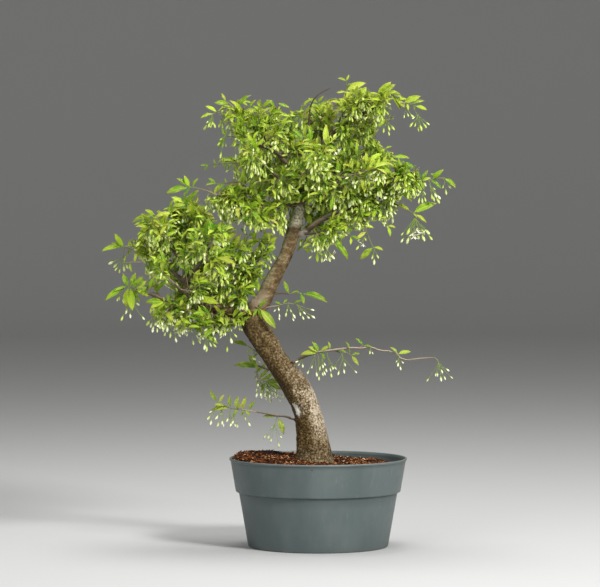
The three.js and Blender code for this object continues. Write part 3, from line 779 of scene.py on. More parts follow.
bark, tree, shader = new_material("bark", {"Roughness": 0.85, "Specular IOR Level": 0.2})
place = object_place(tree)
where = split(tree, place)
height = where["Z"]
facing = split(tree, add(tree, "ShaderNodeTexCoord").outputs["Normal"])
girth = marked(tree, "girth")
lichen = mottled(tree, 30, 360, 0.45, place)
streaks = add(tree, "ShaderNodeMapping", {"Vector": place, "Scale": (1, 1, 2.2)}).outputs[0]
fleck = mottled(tree, 60, 330, 0.22, streaks)
brown = ramp(tree, lichen["Height"], [
    (0.36, (0.02, 0.011, 0.002)), (0.45, (0.058, 0.034, 0.009)), (0.56, (0.122, 0.078, 0.025)),
    (0.7, (0.29, 0.215, 0.105)),
])
pale = ramp(tree, lichen["Height"], [
    (0.36, (0.05, 0.031, 0.012)), (0.44, (0.19, 0.13, 0.068)), (0.53, (0.45, 0.37, 0.25)),
    (0.63, (0.75, 0.67, 0.54)),
])
rough = maths(tree, "MULTIPLY_ADD", fleck["Patches"], 0.9, scaled(tree, fleck["Height"], 0, 1, -0.25, 0.35))
upper_wood = ramp(tree, rough, [
    (0.38, (0.066, 0.041, 0.016)), (0.47, (0.117, 0.077, 0.034)), (0.56, (0.172, 0.12, 0.058)),
    (0.68, (0.32, 0.245, 0.145)),
])

# Above the chips the lower trunk is paler on its right, partly bleached and partly painted light, and darker
# on its left with painted shade.
bleach_and_light_zone = ramp(tree, height, [(at, (share, share, share)) for at, share in (
    (0.14, 0.1), (0.18, 0.85), (0.225, 0.85), (0.245, 0.25), (0.29, 0.12), (0.34, 0.04),
)])
patchy = scaled(tree, lichen["Patches"], 0.38, 0.62, -1.1, -0.1)
# Paler towards the right-facing side: partly bleached bark, partly painted light.
lit_and_bleached_side = maths(tree, "MULTIPLY_ADD", facing["X"], 1.4, patchy)
worn_and_lit = product(tree, scaled(tree, lit_and_bleached_side, -0.95, 0.55), bleach_and_light_zone)
bare_and_lit = product(tree, scaled(tree, lit_and_bleached_side, 0.35, 0.85, 0, 0.7), bleach_and_light_zone)
stained = blended(tree, scaled(tree, lichen["Patches"], 0.52, 0.38, 0, 0.4), brown, (0.026, 0.015, 0.004))
splashed = blended(tree, scaled(tree, height, 0.15, 0.122, 0, 0.2), stained, pale)
bleached_and_lit = blended(tree, bare_and_lit, blended(tree, worn_and_lit, splashed, pale), (0.58, 0.5, 0.4))
aged = blended(tree, scaled(tree, height, 0.31, 0.36), bleached_and_lit, upper_wood)
# Painted shade on the trunk's left side, from just above the chips up to the elbow.
shadow_side = product(
    tree, scaled(tree, facing["X"], 0.15, -0.8, 0, 0.72), scaled(tree, height, 0.16, 0.24),
    scaled(tree, height, 0.32, 0.355, 1, 0),
)
painted_shade_left = blended(tree, shadow_side, aged, (0.02, 0.013, 0.003))

# The upper trunk carries lichen on its left, and the fork's crotch is pale.
upper_lichen = product(
    tree, scaled(tree, facing["X"], -0.1, -0.8, 0, 0.8), scaled(tree, height, 0.36, 0.385),
    scaled(tree, fleck["Patches"], 0.42, 0.56, 0.2, 1),
)
mossy = blended(tree, upper_lichen, painted_shade_left, (0.33, 0.31, 0.18))
crotch_far = distance(tree, place, (-0.088, -0.012, 0.357))
forked = blended(tree, scaled(tree, crotch_far, 0.008, 0.02, 0.65, 0), mossy, (0.42, 0.34, 0.24))

# The limbs are young and brown with silvery stretches, and painted light makes them paler on their upper
# side and towards the right.
silver = product(
    tree, scaled(tree, soft_patches(tree, 9), 0.44, 0.56, 0.15, 1),
    scaled(tree, facing["Z"], -0.5, 0.6, 0.2, 1), scaled(tree, height, 0.57, 0.61, 1, 0.1),
    scaled(tree, where["X"], -0.012, 0.01, 0.45, 1),
)
young = blended(tree, silver, (0.055, 0.036, 0.02), (0.44, 0.37, 0.29))
by_girth = blended(tree, scaled(tree, girth, 0.08, 0.3), young, forked)

# The trunk's top has a dark collar, a pale band and a pale knob, and its foot has a pale scar.
collar = product(tree, scaled(tree, height, 0.443, 0.449), scaled(tree, height, 0.46, 0.455, 0, 0.6))
ringed = blended(tree, collar, by_girth, (0.04, 0.026, 0.012))
worn = product(
    tree, scaled(tree, height, 0.456, 0.462), scaled(tree, height, 0.492, 0.484),
    scaled(tree, girth, 0.26, 0.32), scaled(tree, lichen["Height"], 0.4, 0.5, 0.1, 0.95),
)
banded = blended(tree, worn, ringed, (0.52, 0.5, 0.37))
knob_far = distance(tree, place, (-0.021, -0.008, 0.448))
knobbed = blended(tree, scaled(tree, knob_far, 0.003, 0.008, 0.85, 0), banded, (0.56, 0.5, 0.42))
scar_shape = add(tree, "ShaderNodeMapping", {
    "Vector": place, "Location": SCAR - Vector((0.0015, 0, 0.001)), "Rotation": (0, -0.4, 0),
    "Scale": (1, 1, 2.1),
}, vector_type="TEXTURE")
scar_far = distance(tree, scar_shape.outputs[0], (0, 0, 0))
scar_edge = maths(tree, "MULTIPLY_ADD", lichen["Height"], 0.011, scar_far)
scarred = blended(tree, scaled(tree, scar_edge, 0.0095, 0.0112, 0.95, 0), knobbed, (0.7, 0.68, 0.61))
tree.links.new(scarred, shader.inputs["Base Color"])
raised(tree, shader, 0.9, 0.0013, lichen["Height"])
wood.data.materials.append(bark)
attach(wood, "root")
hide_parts("trunk")


# The shoots: each limb ends in a leafy shoot and carries more along it. This section plans them all:
# the line of each stem, and the seats of its leaves, its hanging buds and its flowers. The shoots fill
# the two clouds that the tree is clipped to, and the twigs at their edges are given one by one.
UP = Vector((0, 0, 1))
PARTS = ("crown", "pad", "low")
stems = {part: [] for part in PARTS}  # line and radii
leaf_seats = {part: [] for part in PARTS}  # place, way, upper side, length, kind, tint
bud_seats = {part: [] for part in PARTS}
flower_seats = {part: [] for part in PARTS}
crowding = {part: {} for part in PARTS}
draw = random.Random(11)
low_corner, high_corner = (corner / MM for corner in cad_box)
trunk_marks = [Vector(row[:3]) for row in trunk_rows]
trunk_radii = [row[3] for row in trunk_rows]
CELL = 13  # size of the cells in which the foliage is counted
TRIES = 18  # places that are tried for each inner shoot
FLAT_KINDS = (0, 2, 5)  # the flatter ones of the six leaf shapes
BUD_LENGTHS = {"crown": (16, 23), "pad": (16, 23), "low": (14, 18)}  # with the bud's own stalk
TRUNK_SHOWN = (130, 492)  # heights between which foliage keeps clear of the trunk
ELBOW_COVERED = (315, 350)  # heights between which it may hang in front of the trunk
clouds = {  # the outline of each cloud from the front, x and z, its middle and its half sizes
    "crown": ([
        (-160, 614), (-152, 628), (-135, 641), (-112, 640), (-89, 638), (-62, 637), (-49, 633), (-37, 624),
        (-25, 624), (-15, 634), (-3, 641), (10, 640), (28, 638), (34, 653), (48, 661), (68, 658), (88, 655),
        (105, 653), (108, 641), (100, 630), (90, 618), (85, 604), (84, 587), (94, 570), (117, 557),
        (131, 541), (151, 530), (165, 521), (157, 507), (134, 503), (120, 501), (121, 487), (105, 478),
        (100, 458), (85, 473), (71, 465), (57, 448), (45, 451), (31, 444), (18, 434), (0, 424), (-17, 426),
        (-26, 438), (-40, 448), (-52, 450), (-69, 454), (-86, 455), (-97, 447), (-112, 451), (-123, 464),
        (-137, 471), (-152, 477), (-163, 490), (-160, 504), (-137, 511), (-120, 518), (-112, 524),
        (-117, 534), (-137, 538), (-163, 543), (-152, 553), (-132, 555), (-113, 558), (-112, 567),
        (-122, 580), (-126, 591), (-152, 600), (-163, 607),
    ], Vector((0, 0, 555)), (150, 85, 105)),
    "pad": ([
        (-300, 421), (-286, 434), (-272, 437), (-257, 447), (-263, 461), (-252, 478), (-226, 480),
        (-212, 487), (-209, 498), (-195, 507), (-180, 507), (-169, 504), (-160, 487), (-150, 473),
        (-137, 468), (-123, 460), (-112, 453), (-97, 454), (-86, 455), (-69, 451), (-50, 445), (-52, 424),
        (-63, 407), (-73, 390), (-82, 370), (-89, 353), (-86, 336), (-95, 321), (-112, 310), (-132, 304),
        (-149, 300), (-163, 297), (-175, 306), (-192, 308), (-209, 307), (-226, 316), (-240, 328),
        (-229, 343), (-209, 350), (-197, 358), (-206, 371), (-226, 374), (-243, 381), (-240, 404),
        (-252, 414), (-269, 416), (-286, 417),
    ], Vector((-180, 0, 395)), (110, 80, 95)),
}


def depth_in_outline(outline, point):
    """How far a point lies within an outline seen from the front, less than nought outside"""
    shift = (point - eye / MM) * (-eye.y / MM) / (point.y - eye.y / MM)
    x, z = eye.x / MM + shift.x, eye.z / MM + shift.z
    nearest, crossed = 1e9, False
    for (ax, az), (bx, bz) in zip(outline, outline[1:] + outline[:1]):
        if (az > z) != (bz > z) and x < ax + (bx - ax) * (z - az) / (bz - az):
            crossed = not crossed
        t = ((x - ax) * (bx - ax) + (z - az) * (bz - az)) / ((bx - ax) ** 2 + (bz - az) ** 2)
        t = min(1, max(0, t))
        nearest = min(nearest, math.hypot(x - mix(ax, bx, t), z - mix(az, bz, t)))
    return nearest if crossed else -nearest


def depth_in_cloud(part, point):
    """How far a point lies within its cloud's outline, less than nought outside"""
    return depth_in_outline(clouds[part][0], point) if part in clouds else 99


def inside(point, margin):
    """Whether a point is well within the solid model's box"""
    return all(a + margin < p < b - margin for a, p, b in zip(low_corner, point, high_corner))


def hides_trunk(point, gap):
    """Whether a point lies in the trunk or in front of the stretch of it that stays in view"""
    if not TRUNK_SHOWN[0] < point.z < TRUNK_SHOWN[1]:
        return False
    near = min(range(len(trunk_marks)), key=lambda i: abs(trunk_marks[i].z - point.z))
    mark, radius = trunk_marks[near], trunk_radii[near]
    covered = ELBOW_COVERED[0] <= point.z <= ELBOW_COVERED[1]
    if not covered and point.y < mark.y:
        return abs(point.x - mark.x) < radius + gap
    return math.hypot(point.x - mark.x, point.y - mark.y) < radius + gap


def crowd(part, point, weight=0.0):
    """How full the foliage is at a point, seen from the front and in depth, after adding a weight"""
    flat = (round(point.x / CELL), round(point.z / CELL))
    deep = tuple(round(c / CELL / 2) for c in point)
    filled = crowding[part]
    for key in (flat, deep):
        filled[key] = filled.get(key, 0) + weight
    around = sum(filled.get((flat[0] + i, flat[1] + j), 0) for i in (-1, 0, 1) for j in (-1, 0, 1))
    return filled[flat] + around / 9 + 0.6 * filled[deep]


def hides_wood(point):
    """Whether something at a point hangs in front of wood that is kept in view"""
    if point.y > 10:  # behind the limbs
        return False
    return any(depth_in_outline(outline, point) > 0 and draw.random() < share for share, outline in openings)


def seat_leaf(part, root, tip, tint, placed=False):
    """Plans one leaf from its root to its tip, where it has room"""
    way = tip - root
    length = way.length
    if not placed:
        hidden = hides_trunk(root.lerp(tip, 0.6), 4) or hides_trunk(tip, 1)
        if hidden or not inside(tip, 5) or depth_in_cloud(part, tip) < -1:
            return
    way.normalize()
    middle = clouds[part][1] if part in clouds else Vector((-60, 0, 250))
    out = Vector((root.x - middle.x, root.y - middle.y - 25, 0)).normalized()
    face = UP + out * 0.5 + Vector((draw.gauss(0, 0.3), draw.gauss(-1.1 if placed else -0.4, 0.3), 0))
    face = (face - way * face.dot(way)).normalized()
    # Leaves deep in a cloud are darker, partly as older leaves and partly as painted shade.
    shade = min(1, max(0, tint + draw.gauss(0, 0.2) - 0.3 * buried(part, root)))
    kind = draw.choice(FLAT_KINDS) if placed else draw.randrange(6)
    leaf_seats[part].append((root, way, face, length, kind, shade))
    crowd(part, root.lerp(tip, 0.6), (length / 20) ** 2)


def buried(part, point):
    """How deep a point lies in the middle of its cloud, from 0 near the outside to 1"""
    if part not in clouds:
        return 0
    _, middle, sizes = clouds[part]
    from_middle = Vector(a / b for a, b in zip(point - middle, sizes))
    return max(0, min(1, 2.5 - 3 * from_middle.length))


def hang_bud(seats, part, start, tip):
    """Plans one bud or flower that ends at a tip, its stalk lengthened back to where it starts"""
    way = (tip - start).normalized()
    length = draw.uniform(*BUD_LENGTHS[part])
    length = min(length, max(13, (tip - start).length))
    root = tip - way * length
    if (root - start).length > 2 and (tip - start).length > length:
        bow = way.orthogonal().normalized() * draw.uniform(-0.6, 0.6)
        stems[part].append(([start, start.lerp(root, 0.5) + bow, root], [0.34, 0.32, 0.32]))
    face = way.orthogonal().normalized()
    # The low twigs' buds are also lightened as painted light where they hang in shade, and buds deep in a
    # cloud are greener, partly as younger buds and partly as painted shade.
    if part == "low":  # the lower a bud hangs, the riper and whiter it is
        whiter = 0.4
    elif tip.z < 345:
        whiter = 0.1
    else:
        whiter = -0.25 if tip.z < 560 else -0.4
    white = draw.random() - 0.3 * buried(part, root) + whiter
    seats[part].append((root, way, face, length, draw.randrange(4), min(1, max(0, white))))


def hang_bunch(part, root, count, reach):
    """Plans a bunch: a fine stalk that bends down, and buds that fan out from its end"""
    out = Vector((draw.gauss(0, 1), draw.gauss(0, 1), 0)).normalized()
    line = [root, root + (out * 0.4 + UP * -0.25) * reach, root + (out * 0.6 - UP * 0.85) * reach]
    if hides_trunk(line[-1], 1) or not inside(line[-1] - UP * 18, 1):
        return
    stems[part].append((line, [0.5, 0.45, 0.4]))
    for _ in range(count):
        start = line[-1].lerp(line[1], draw.random() ** 2 * 0.9)
        turn = draw.uniform(0, 2 * math.pi)
        lean = min(1.6, abs(draw.gauss(0.1, 0.6)))
        way = Vector((math.cos(turn) * math.sin(lean), math.sin(turn) * math.sin(lean), -math.cos(lean)))
        tip = start + way * draw.triangular(13, 27, 18)
        if inside(tip, 2) and not hides_trunk(tip, 0) and depth_in_cloud(part, tip) > -5:
            hang_bud(bud_seats, part, start, tip)


def stem_along(part, root, heading, length, radius, sag):
    """Plans a stem that wanders and sags a little, and gives back its line"""
    count = max(3, round(length / 5))
    line, way = [root], heading.normalized()
    for i in range(count):
        way += Vector((draw.gauss(0, 0.07), draw.gauss(0, 0.07), draw.gauss(0, 0.05) - sag * i / count))
        way.normalize()
        onward = line[-1] + way * (length / count)
        if not inside(onward, 12) or i > 1 and depth_in_cloud(part, onward) < 8:
            break
        line.append(onward)
    if len(line) < 3:
        return None
    stems[part].append((line, [mix(radius, 0.5, i / (len(line) - 1)) for i in range(len(line))]))
    return line


def dress(part, line, first, gap, size, tint, buds):
    """Puts pairs of leaves and bunches of buds along a stem"""
    length = (line[-1] - line[0]).length
    nodes = max(2, round(length * (1 - first) / gap))
    turn = draw.uniform(0, math.pi)
    for n in range(nodes + 1):
        t = mix(first, 1, n / nodes) * (len(line) - 1)
        i = min(int(t), len(line) - 2)
        at = line[i].lerp(line[i + 1], t - i)
        ahead = (line[i + 1] - line[i]).normalized()
        side = ahead.cross(UP)
        side = side.normalized() if side.length > 0.2 else Vector((1, 0, 0))
        rise = side.cross(ahead)
        turn += math.pi / 2 + draw.gauss(0, 0.3)
        last = n == nodes
        for sign in (1, -1):
            around = (side * math.cos(turn) + rise * 0.7 * math.sin(turn)) * sign
            way = around * (0.75 if last else 1) + ahead * draw.uniform(0.5, 1.1)
            way += UP * draw.uniform(-0.25, 0.2)
            reach = size * (0.8 if last else 1) * draw.triangular(0.55, 1.45, 0.9)
            if draw.random() < 0.93:
                seat_leaf(part, at, at + way.normalized() * reach, tint + (0.2 if last else 0))
        if draw.random() < buds * (1 if 355 < at.z < 590 else 0.6):
            hang_bunch(part, at, draw.choice((2, 3, 4, 4, 5, 6)), draw.uniform(4, 10))


FIRST_PAIR = 0.25  # how far along a shoot its first leaves stand
PAIR_GAP = 11.5  # from one pair of leaves to the next


def grow_shoot(part, root, heading, length, radius, size, tint, buds, twigs):
    """Plans a leafy shoot with its side twigs"""
    line = stem_along(part, root, heading, length, radius, sag=0.05)
    if line is None:
        return
    dress(part, line, FIRST_PAIR, PAIR_GAP, size, tint, buds)
    for n in range(twigs):
        t = mix(0.15, 0.85, (n + draw.random()) / twigs) * (len(line) - 1)
        i = min(int(t), len(line) - 2)
        ahead = (line[i + 1] - line[i]).normalized()
        turn = draw.uniform(0, 2 * math.pi)
        side = ahead.orthogonal().normalized()
        across = side * math.cos(turn) + ahead.cross(side) * math.sin(turn)
        if across.z < -0.5:
            across.z *= -1
        way = across + ahead * 0.7 + UP * 0.1
        twig = stem_along(part, line[i], way, draw.uniform(0.45, 0.75) * length, radius=0.8, sag=0.08)
        if twig is not None:
            dress(part, twig, 0.3, PAIR_GAP - 1, size * 0.92, tint, buds)


sprigs = [  # cloud, stem, leaf tips as share along, x and z, and bunches as share and buds
    ("crown", [(40, -4, 604), (38, -4, 624), (38, -5, 641), (40, -5, 652), (40, -6, 665)], [(1, 27, 669),
     (1, 44, 674), (0.8, 68, 662), (0.75, 25, 648), (0.9, 48, 661), (0.6, 48, 640), (0.5, 24, 630),
     (0.35, 51, 621)], [(0.6, 4), (0.35, 4)]),
    ("crown", [(59, -22, 621), (71, -26, 632), (82, -30, 641), (88, -32, 645), (102, -34, 646),
     (109, -36, 640), (114, -38, 633)], [(0.45, 103, 663), (0.42, 55, 649), (0.5, 110, 660),
     (0.7, 117, 646), (0.85, 123, 625), (0.8, 121, 639), (0.65, 113, 649), (0.75, 116, 623),
     (0.9, 126, 638), (0.3, 62, 632), (0.15, 82, 629), (0.2, 56, 635), (0.6, 96, 655)], [(0.4, 4),
     (0.2, 3)]),
    ("crown", [(114, -38, 633), (121, -38, 633), (130, -39, 632), (137, -40, 629)], [(0.3, 146, 643),
     (0.9, 136, 622), (1, 154, 623), (0.8, 151, 636), (0.5, 127, 622)], [(0.3, 2)]),
    ("crown", [(81, -18, 621), (92, -20, 615), (98, -22, 609)], [(0.8, 84, 598), (0.3, 101, 624),
     (0.6, 92, 629)], [(0.6, 4), (0.9, 3)]),
    ("crown", [(110, -30, 553), (99, -34, 564), (92, -36, 570)], [(0.9, 105, 572), (1, 83, 575),
     (0.7, 102, 553), (0.3, 129, 555)], [(0.6, 4), (0.9, 3)]),
    ("crown", [(110, -40, 520), (121, -42, 526), (131, -44, 536), (137, -45, 531), (143, -46, 524),
     (154, -47, 524), (164, -48, 526)], [(0.42, 117, 547), (0.68, 137, 538), (0.72, 155, 538),
     (0.75, 159, 527), (0.95, 178, 540), (0.92, 174, 512), (0.62, 150, 510), (0.25, 133, 519),
     (0.1, 118, 530)], [(0.05, 3)]),
    ("crown", [(164, -48, 526), (169, -49, 527), (178, -50, 527)], [(1, 195, 512), (0.4, 158, 533)], []),
    ("crown", [(99, -36, 519), (110, -38, 514)], [(1, 133, 493), (0.5, 114, 527)], []),
    ("crown", [(99, -28, 493), (116, -31, 487), (130, -34, 480), (137, -35, 476)], [(0.3, 131, 479),
     (0.9, 170, 492), (1, 154, 463), (0.1, 113, 502), (0.5, 122, 492), (0.9, 140, 470)], [(0.2, 3)]),
    ("crown", [(8, -30, 442), (17, -33, 439), (24, -35, 435)], [(1, 42, 411), (0.85, 35, 422),
     (0.6, 31, 450), (0.3, -9, 439)], [(0.8, 4), (0.3, 5)]),
    ("crown", [(31, -28, 459), (39, -32, 450), (46, -34, 445)], [(1, 59, 439), (1, 45, 431), (0.6, 32, 439),
     (0.5, 51, 456)], [(0.6, 3)]),
    ("crown", [(-26, -56, 584), (-21, -66, 581), (-20, -72, 579)], [(1, -16, 560), (0.8, -5, 593),
     (0.6, -37, 595)], []),
    ("crown", [(-91, -48, 578), (-101, -56, 575), (-109, -60, 574)], [(1, -126, 571), (0.8, -116, 588),
     (0.5, -96, 591)], [(0.5, 3)]),
    ("crown", [(-16, 12, 444), (-19, 14, 437), (-22, 15, 431)], [(1, -30, 421), (1, -15, 422),
     (0.5, -8, 431), (0.3, -29, 434)], [(0.9, 5), (0.5, 5)]),
    ("crown", [(-13, -20, 439), (-7, -23, 430), (-2, -25, 422)], [(1, -1, 406), (1, 8, 416),
     (0.6, -17, 420), (0.3, -23, 428), (0.3, 2, 430)], [(0.6, 5), (0.1, 5)]),
    ("crown", [(48, -24, 480), (62, -30, 465), (72, -33, 442), (78, -34, 429)], [(1, 59, 411), (1, 93, 424),
     (0.6, 52, 439), (0.5, 51, 452), (0.45, 79, 456)], [(0.3, 5), (0.5, 4)]),
    ("crown", [(96, -26, 489), (99, -30, 473), (98, -32, 459)], [(1, 110, 456), (1, 102, 443),
     (0.6, 88, 470), (0.4, 107, 479)], [(0.9, 4), (0.5, 5)]),
    ("crown", [(76, -20, 496), (85, -24, 482), (86, -27, 470)], [(1, 76, 465), (0.8, 96, 465),
     (0.5, 73, 479)], [(0.9, 5), (0.5, 6)]),
    ("crown", [(-97, -26, 602), (-111, -28, 616), (-124, -30, 631), (-131, -30, 636)], [(1, -138, 648),
     (0.85, -148, 633), (0.62, -95, 645), (0.5, -114, 639), (0.3, -86, 626)], [(0.5, 4), (0.8, 3)]),
    ("crown", [(-80, -20, 607), (-91, -22, 621), (-100, -24, 629)], [(1, -111, 639), (0.9, -88, 638),
     (0.5, -80, 629), (0.6, -108, 621)], [(0.6, 3)]),
    ("crown", [(-103, -24, 607), (-122, -30, 616), (-141, -34, 621), (-149, -36, 618)], [(1, -168, 611),
     (0.9, -161, 629), (0.7, -136, 631), (0.5, -128, 604)], [(1, 5), (0.7, 6), (0.4, 5)]),
    ("crown", [(-97, -46, 578), (-113, -48, 584), (-130, -50, 586)], [(1, -142, 568), (1, -137, 598),
     (0.6, -116, 598), (0.5, -120, 570)], [(1, 4), (0.4, 4), (0.7, 3)]),
    ("crown", [(-103, 10, 544), (-118, 4, 548), (-137, 0, 548), (-156, -2, 545)], [(1, -169, 545),
     (1, -164, 537), (0.85, -149, 554), (0.8, -150, 540), (0.6, -137, 557), (0.6, -132, 538),
     (0.4, -122, 555), (0.4, -115, 537), (0.2, -112, 555)], [(0.3, 5), (0.55, 4), (0.1, 5)]),
    ("crown", [(-101, -30, 514), (-111, -36, 521), (-128, -40, 520), (-145, -42, 519)], [(1, -160, 516),
     (1, -156, 527), (0.85, -148, 504), (0.7, -133, 528), (0.75, -142, 509), (0.45, -122, 527),
     (0.5, -129, 507), (0.2, -107, 531)], [(0.3, 5), (0.1, 6), (0.5, 3)]),
    ("crown", [(-144, -41, 503), (-157, -44, 509), (-172, -46, 513), (-183, -48, 514)], [(1, -218, 504),
     (0.95, -201, 527), (1, -190, 531), (0.85, -169, 527), (0.9, -191, 500)], []),
    ("crown", [(-74, -20, 609), (-80, -18, 622), (-80, -16, 628)], [(1, -83, 639), (0.9, -64, 638),
     (0.6, -94, 629)], [(0.5, 4)]),
    ("crown", [(-46, 30, 607), (-42, 28, 620), (-41, 26, 627)], [(1, -48, 630), (1, -58, 634),
     (0.6, -36, 617)], [(0.5, 3)]),
    ("crown", [(-17, -10, 612), (-20, -12, 624), (-22, -13, 631)], [(1, -25, 629), (1, -9, 639),
     (0.6, -30, 619), (0.5, -6, 627)], [(0.4, 4)]),
    ("crown", [(3, 24, 614), (0, 20, 627), (0, 18, 634)], [(1, -15, 640), (1, 8, 644), (0.7, 17, 636),
     (0.5, -18, 627)], [(0.5, 4)]),
    ("crown", [(-80, -22, 489), (-77, -26, 476), (-80, -30, 466)], [(1, -94, 456), (1, -68, 455),
     (0.6, -97, 476), (0.5, -60, 476)], [(1, 5), (0.5, 6), (0.2, 5)]),
    ("crown", [(-100, -24, 496), (-105, -30, 482), (-112, -34, 472)], [(1, -125, 469), (0.8, -98, 459),
     (0.5, -128, 487), (0.5, -91, 476)], [(1, 4), (0.5, 6), (0.2, 5)]),
    ("crown", [(-60, -10, 488), (-54, -16, 474), (-56, -20, 460)], [(1, -49, 443), (1, -70, 452),
     (0.6, -74, 467), (0.5, -43, 473)], [(1, 5), (0.5, 5)]),
    ("crown", [(-128, -32, 499), (-139, -36, 490), (-149, -38, 486)], [(1, -162, 476), (0.8, -159, 502),
     (0.5, -134, 479)], [(1, 4), (0.6, 6), (0.2, 6)]),
    ("crown", [(-72, 14, 490), (-78, 18, 475), (-86, 22, 464)], [(1, -104, 457), (1, -81, 449),
     (0.6, -92, 478), (0.5, -63, 464)], [(1, 4), (0.5, 5)]),
    ("crown", [(22, -20, 467), (25, -26, 456), (22, -28, 445)], [(1, 34, 430), (1, 11, 430), (0.6, 8, 459),
     (0.5, 38, 456)], [(1, 4), (0.5, 6)]),
    ("pad", [(-230, -26, 452), (-232, -28, 465), (-232, -30, 475)], [(1, -267, 463), (0.95, -247, 482),
     (0.9, -209, 477), (0.5, -253, 452), (0.4, -213, 460)], [(0.5, 4)]),
    ("pad", [(-252, 16, 422), (-268, 15, 425), (-281, 14, 428)], [(1, -311, 421), (0.9, -292, 447),
     (1, -297, 434), (0.6, -268, 439), (0.5, -275, 414), (0.2, -261, 434)], [(0.6, 3)]),
    ("pad", [(-251, -10, 407), (-267, -14, 407), (-279, -16, 406)], [(0.9, -274, 417), (0.6, -265, 393),
     (0.4, -259, 419)], [(0.6, 4)]),
    ("pad", [(-230, -38, 374), (-240, -42, 374), (-248, -44, 377)], [(1, -261, 377), (0.8, -255, 388),
     (0.7, -249, 363), (0.3, -235, 387)], [(0.5, 3)]),
    ("pad", [(-161, -60, 409), (-152, -72, 415), (-144, -80, 416)], [(1, -116, 406), (0.8, -130, 429),
     (0.6, -158, 426)], [(0.5, 3)]),
    ("pad", [(-207, -50, 439), (-216, -62, 445), (-223, -70, 447)], [(1, -230, 436), (1, -214, 460),
     (0.6, -200, 451)], [(0.5, 3)]),
    ("pad", [(-252, -42, 363), (-261, -44, 370), (-271, -46, 374)], [(1, -303, 353), (0.95, -289, 367),
     (0.9, -278, 393), (0.7, -259, 393), (0.8, -263, 338), (0.85, -272, 343), (0.6, -252, 350),
     (0.4, -239, 359), (0.45, -244, 371), (0.3, -242, 383), (0.6, -248, 388)], [(0.5, 3)]),
    ("pad", [(-182, -38, 343), (-198, -46, 345), (-210, -50, 349), (-218, -52, 352)], [(1, -246, 351),
     (1, -238, 343), (1, -219, 360), (0.8, -214, 365), (0.6, -178, 338), (0.5, -201, 329), (0.9, -235, 332),
     (0.3, -170, 352)], [(0.9, 6), (0.6, 7), (0.3, 7)]),
    ("pad", [(-182, -40, 354), (-176, -44, 356), (-172, -46, 356)], [(1, -140, 349), (0.6, -167, 371),
     (0.8, -162, 340)], [(0.5, 3)]),
    ("pad", [(-162, -34, 316), (-161, -36, 309), (-159, -36, 303)], [(1, -142, 292), (0.5, -178, 313),
     (0.3, -145, 312)], [(0.4, 5), (1, 5)]),
    ("pad", [(-176, 4, 463), (-183, 0, 478), (-189, -4, 491)], [(1, -211, 500), (1, -170, 510),
     (0.9, -209, 486), (0.85, -192, 505), (0.6, -159, 480), (0.4, -200, 473)], [(0.9, 4), (0.5, 5)]),
    ("pad", [(-126, 14, 398), (-115, 10, 415), (-103, 8, 427)], [(1, -80, 441), (1, -106, 445),
     (0.7, -129, 421), (0.5, -92, 412)], [(1, 4), (0.5, 5)]),
    ("pad", [(-145, -20, 430), (-137, -24, 447), (-130, -26, 462)], [(1, -138, 476), (1, -115, 467),
     (0.8, -145, 462), (0.7, -117, 456), (0.4, -128, 439), (0.5, -148, 447)], [(0.5, 4)]),
    ("pad", [(-114, -14, 416), (-106, -16, 430), (-100, -18, 444)], [(1, -111, 456), (1, -86, 450),
     (0.7, -91, 439), (0.6, -114, 439), (0.3, -91, 425)], [(0.4, 4), (0.8, 3)]),
    ("pad", [(-86, -6, 407), (-77, -8, 421), (-70, -8, 434)], [(1, -72, 450), (1, -56, 444),
     (0.7, -60, 430), (0.6, -83, 436), (0.3, -66, 413)], [(0.4, 4), (0.8, 3)]),
    ("pad", [(-137, -26, 408), (-137, -30, 422), (-134, -32, 433)], [(1, -114, 450), (1, -154, 445),
     (0.6, -117, 416), (0.4, -156, 419)], [(0.9, 4), (0.5, 6)]),
    ("pad", [(-102, 14, 398), (-88, 10, 407), (-78, 6, 417)], [(1, -60, 427), (1, -69, 438),
     (0.6, -95, 421), (0.5, -72, 398)], [(1, 5), (0.5, 5)]),
    ("pad", [(-103, 8, 381), (-92, 2, 378), (-85, -4, 379)], [(1, -73, 387), (1, -86, 364),
     (0.5, -100, 364), (0.5, -86, 393)], [(1, 4), (0.5, 5)]),
    ("pad", [(-112, 10, 424), (-95, 8, 434), (-82, 6, 440)], [(1, -62, 447), (1, -68, 430), (0.6, -89, 453),
     (0.5, -98, 418)], [(1, 5), (0.5, 5)]),
    ("pad", [(-114, -12, 342), (-108, -24, 345), (-103, -30, 347)], [(1, -81, 352), (1, -117, 358),
     (0.6, -94, 331), (0.4, -122, 328)], [(0.6, 3)]),
    ("pad", [(-146, -14, 346), (-151, -26, 348), (-159, -32, 350)], [(1, -182, 357), (1, -145, 360),
     (0.6, -168, 334), (0.4, -137, 331)], [(0.9, 4)]),
    ("low", [(0, -19, 278), (2, -20, 280)], [(0.1, -27, 275), (0.6, -10, 295), (0.9, 17, 289), (1, 11, 268),
     (0.5, -15, 287)], []),
    ("low", [(14, -21, 282), (17, -21, 284)], [(1, 14, 295), (0.5, 32, 277)], []),
    ("low", [(28, -22, 284), (35, -22, 281), (47, -23, 275)], [(0.05, 41, 278), (0.9, 38, 295),
     (1, 61, 277), (1, 58, 260)], []),
    ("low", [(59, -23, 286), (64, -23, 289)], [(1, 52, 300), (1, 76, 287)], []),
    ("low", [(110, -26, 278), (113, -26, 277)], [(0.9, 101, 287), (1, 133, 280)], []),
    ("low", [(131, -26, 269), (150, -26, 271), (167, -27, 271), (170, -27, 267)], [], []),
    ("low", [(-88, -8, 193), (-104, -9, 196), (-123, -10, 198), (-131, -11, 201), (-137, -12, 204),
     (-144, -12, 208)], [(1, -154, 226), (0.95, -134, 219), (0.8, -150, 204), (0.65, -153, 194),
     (0.65, -126, 219), (0.5, -114, 216), (0.35, -103, 215), (0.2, -90, 209), (0.45, -123, 185),
